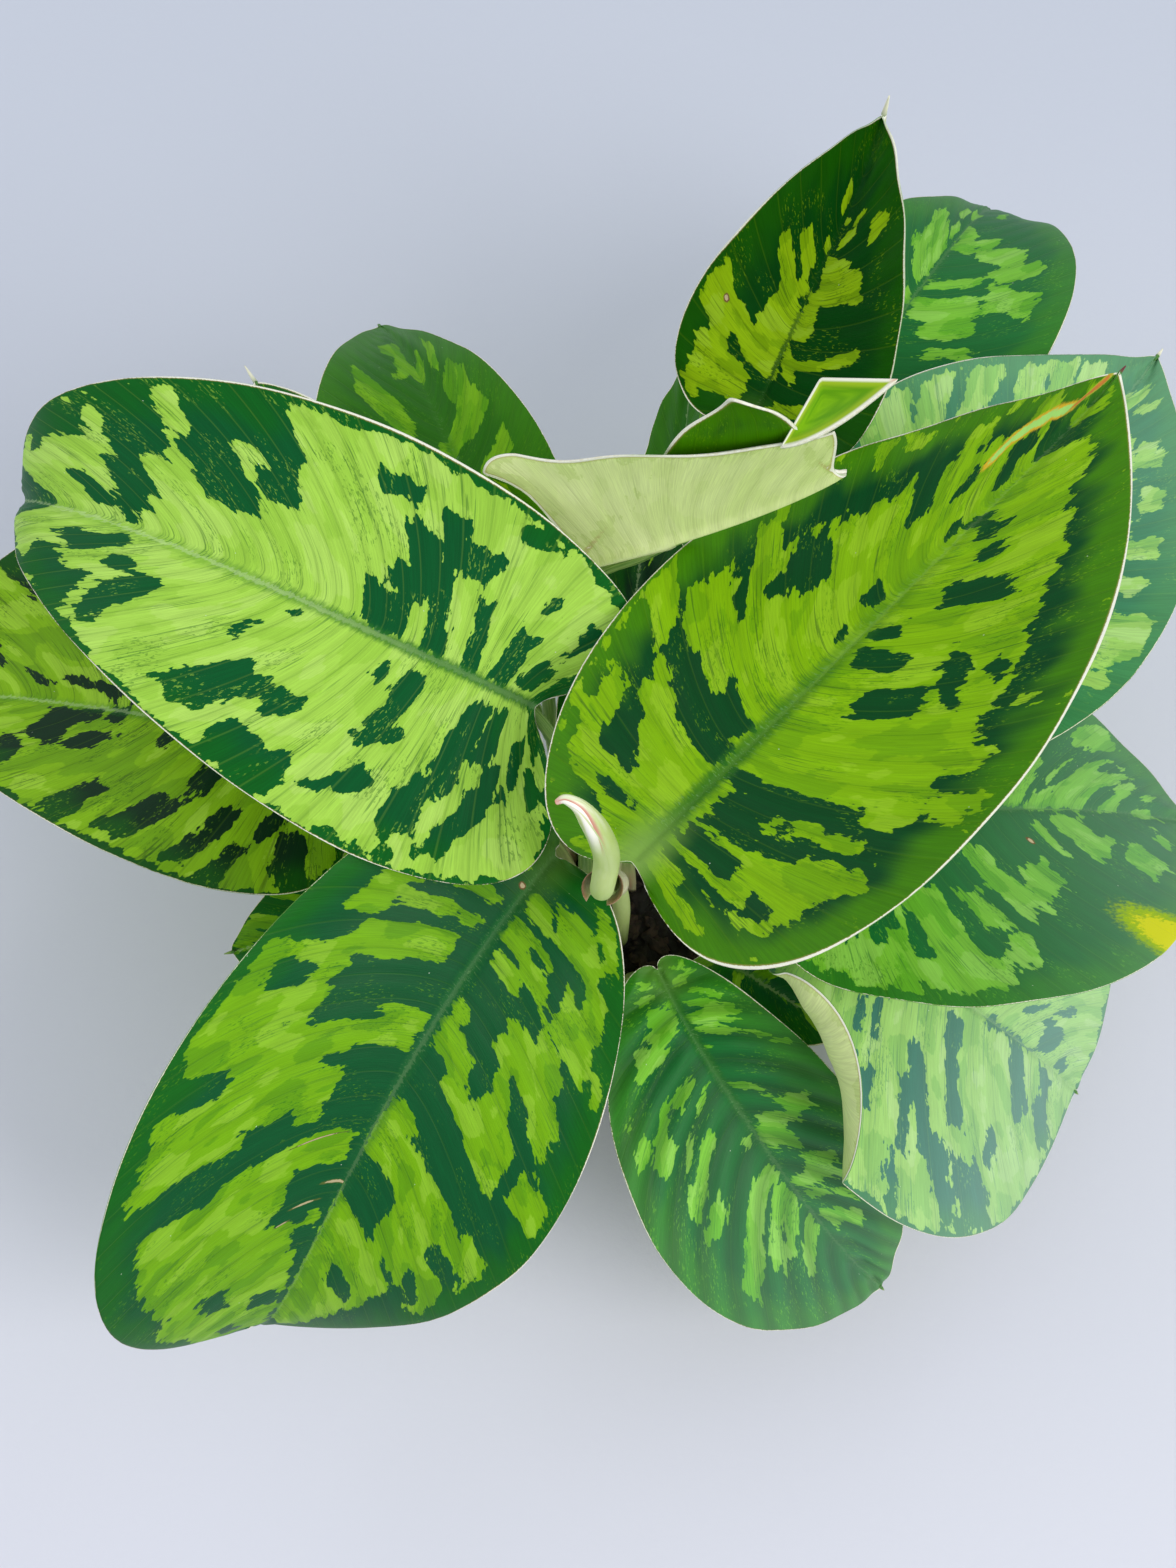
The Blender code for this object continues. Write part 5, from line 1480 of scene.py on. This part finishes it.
def make_stems():
    """The short stems that the stalks grow from, ringed by the scars of old leaves."""
    mat, steps = stem_material(), 39
    for number, crown in enumerate(STEMS):
        low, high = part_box("stem_" + crown)
        base, tall = low[2] / MM, (high[2] - low[2]) / MM
        profile = [(0.0, base)]
        for k in range(steps + 1):
            f = k / steps
            ring = 0.35 * (f * STEM_RINGS % 1.0) ** 2
            radius = STEM_R * (1.0 - 0.1 * f) * min(1.0, (1.02 - f) * 6.0) ** 0.5 + ring
            profile.append((radius, base + tall * f * 0.985))
        profile.append((0.0, base + tall))
        mesh = lathe("stem", profile, 40, lambda r, h, a: (
            r * (1.0 + 0.03 * np.sin(3 * a + h * 0.5 + number)), h))
        mesh.transform(Matrix.Translation(Vector((*stem_middle(crown), 0.0)) * MM))
        mesh.materials.append(mat)
        add_piece("ringed_stem_" + crown, mesh, "stem", "stem_" + crown)


# ================================================================ the sheath round the shoot
SHEATH_LOW, SHEATH_HIGH, SHEATH_R, SHEATH_THICK = 150.0, 188.0, 4.1, 0.45


def sheath_material():
    """Papery cream, pink towards its top and brown at the frayed edge."""
    mat, tree, shader = new_material("papery sheath")
    share = parts(tree, attribute(tree, "along", "Vector"))[0]
    tone = noise(tree, own_place(tree), 500.0, 4.0, 0.6)
    colour = blend(tree, ramp(tree, tone, 0.35, 0.65), srgb(228, 220, 190), srgb(206, 206, 150))
    top = maths(tree, "MULTIPLY", ramp(tree, share, 0.72, 0.96), 0.75)
    colour = blend(tree, top, colour, srgb(222, 166, 142))
    brown = maths(tree, "MULTIPLY", ramp(tree, share, 0.93, 1.0), ramp(tree, tone, 0.4, 0.6))
    finish(tree, shader, blend(tree, brown, colour, srgb(172, 120, 96)), 0.5, tone, 0.3, 0.0003)
    return mat


def make_sheath():
    """The split sheath that the shoot comes out of, thin and frayed at its top."""
    centre = smooth_line(SHOOT, 10)
    g = np.linspace(0.0, 1.0, 44)[:, None]       # round the shoot, from edge to edge
    f = np.linspace(0.0, 1.0, 16)[None, :]       # from the sheath's foot to its top
    turn = np.radians(-75.0 + 300.0 * g)
    ragged = 2.6 * np.sin(9.0 * g + 1.0) * np.sin(4.1 * g) - 4.0 * np.abs(g - 0.5)
    z = SHEATH_LOW + (SHEATH_HIGH + ragged - SHEATH_LOW) * f
    x, y = (np.interp(z, centre[:, 2], centre[:, k]) for k in (0, 1))
    outside = SHEATH_R + f ** 3 + 0.35 * np.sin(7.0 * g) * f
    inside = outside - SHEATH_THICK * (1.0 - 0.7 * f)
    outer, inner = (np.stack([x + radius * np.cos(turn), y + radius * np.sin(turn), z], -1)
                    for radius in (outside, inside))
    share = np.stack(np.broadcast_arrays(f, g, 0.0), -1)
    mesh = sheet_mesh("sheath", outer, inner, {"along": share}, [sheath_material()])
    add_piece("split_sheath", mesh, "shoot")


# ================================================================ putting it together
def make_plant():
    """The leaves with their tips and stalks, and the shoot in its sheath."""
    group, scar = leaf_pattern_group(), scar_group()
    under, rim = blade_under(group), rim_material()
    stalk_skin = stalk_material()
    tips = {"green": tip_material("green leaf tip", srgb(120, 150, 60)),
            "cream": tip_material("cream leaf tip", srgb(236, 232, 204)),
            "red": tip_material("dark red leaf tip", srgb(104, 34, 40))}
    for node, shape in LEAVES.items():
        leaf, look, number = {**LEAF, **shape}, {**LOOK, **LOOKS[node]}, node[-2:]
        make_blade(node, leaf, look, [blade_top(node, leaf, look, group, scar), under, rim])
        if look["end"] >= S_TIP:
            make_tip(node, leaf, look, tips)
        az = math.radians(leaf["az"])
        mesh = skin_line("stalk " + node, stalk_line(leaf),
                         (math.cos(az) * -0.3, math.sin(az) * -0.3, 1.0), stalk_outline, 20)
        mesh.materials.append(stalk_skin)
        add_piece("grooved_stalk_" + number, mesh, "stalk", "stalk_" + number)
    make_turned_tip(under, rim)
    mesh = skin_line("shoot", smooth_line(SHOOT, 12), (0.3, -1.0, 0.2), shoot_outline, 40)
    mesh.materials.append(shoot_material())
    add_piece("rolled_shoot", mesh, "shoot", "new_shoot")
    make_sheath()


# ================================================================ floor, light and camera
FLOOR_HALF, FLOOR_GAP = 12.0, 0.0005             # metres
TARGET = (0.0, 0.0, 0.15)                        # what the lamps point at, metres


def make_floor():
    """A wide pale floor just under the pot."""
    bm = bmesh.new()
    bmesh.ops.create_grid(bm, x_segments=8, y_segments=8, size=FLOOR_HALF)
    mesh = bpy.data.meshes.new("floor")
    bm.to_mesh(mesh)
    bm.free()
    floor = link_object("floor", mesh)
    floor.location.z = -FLOOR_GAP
    mat, tree, shader = new_material("pale matt floor")
    place = own_place(tree)
    far = parts(tree, place)[1]
    # painted shade: the floor darkens towards the back, standing in for the light falling off there
    colour = blend(tree, ramp(tree, far, -0.25, 0.45), srgb(216, 216, 226), srgb(198, 202, 214))
    finish(tree, shader, colour, 0.9, noise(tree, place, 260.0, 3.0, 0.6), 0.15, 0.0006)
    shader.inputs["Specular IOR Level"].default_value = 0.2
    mesh.materials.append(mat)


def area_lamp(name, place, size, watts, colour):
    """A round soft lamp that points at the plant; metres."""
    lamp = bpy.data.lights.new(name, "AREA")
    lamp.shape = "DISK"
    lamp.size = size
    lamp.energy = watts
    lamp.color = colour
    obj = link_object(name, lamp)
    obj.location = place
    obj.rotation_euler = (Vector(TARGET) - Vector(place)).to_track_quat("-Z", "Y").to_euler()


def make_light():
    """A plain pale sky, a large soft lamp at the front right and a weak one behind."""
    world = bpy.data.worlds.new("studio")
    bpy.context.scene.world = world
    world.use_nodes = True
    sky = world.node_tree.nodes["Background"]
    sky.inputs["Color"].default_value = (0.90, 0.95, 1.0, 1.0)
    sky.inputs["Strength"].default_value = 0.78
    area_lamp("window", (0.9, -0.7, 1.25), 1.0, 13.0, (1.0, 0.99, 0.97))
    area_lamp("fill", (-1.1, 0.6, 1.0), 1.2, 4.0, (0.93, 0.96, 1.0))


def make_camera():
    """Above the plant and a little in front of it, looking down."""
    data = bpy.data.cameras.new("camera")
    data.lens = 48.0
    data.sensor_width = 36.0
    data.clip_start = 0.01
    camera = link_object("camera", data)
    camera.location = (-0.01542, -0.17554, 0.68590)
    camera.rotation_euler = (math.radians(20.0), 0.0, 0.0)
    bpy.context.scene.camera = camera


bpy.context.scene.view_settings.view_transform = "Standard"
make_camera()
make_light()
make_floor()
make_pot()
make_soil()
make_stems()
make_plant()
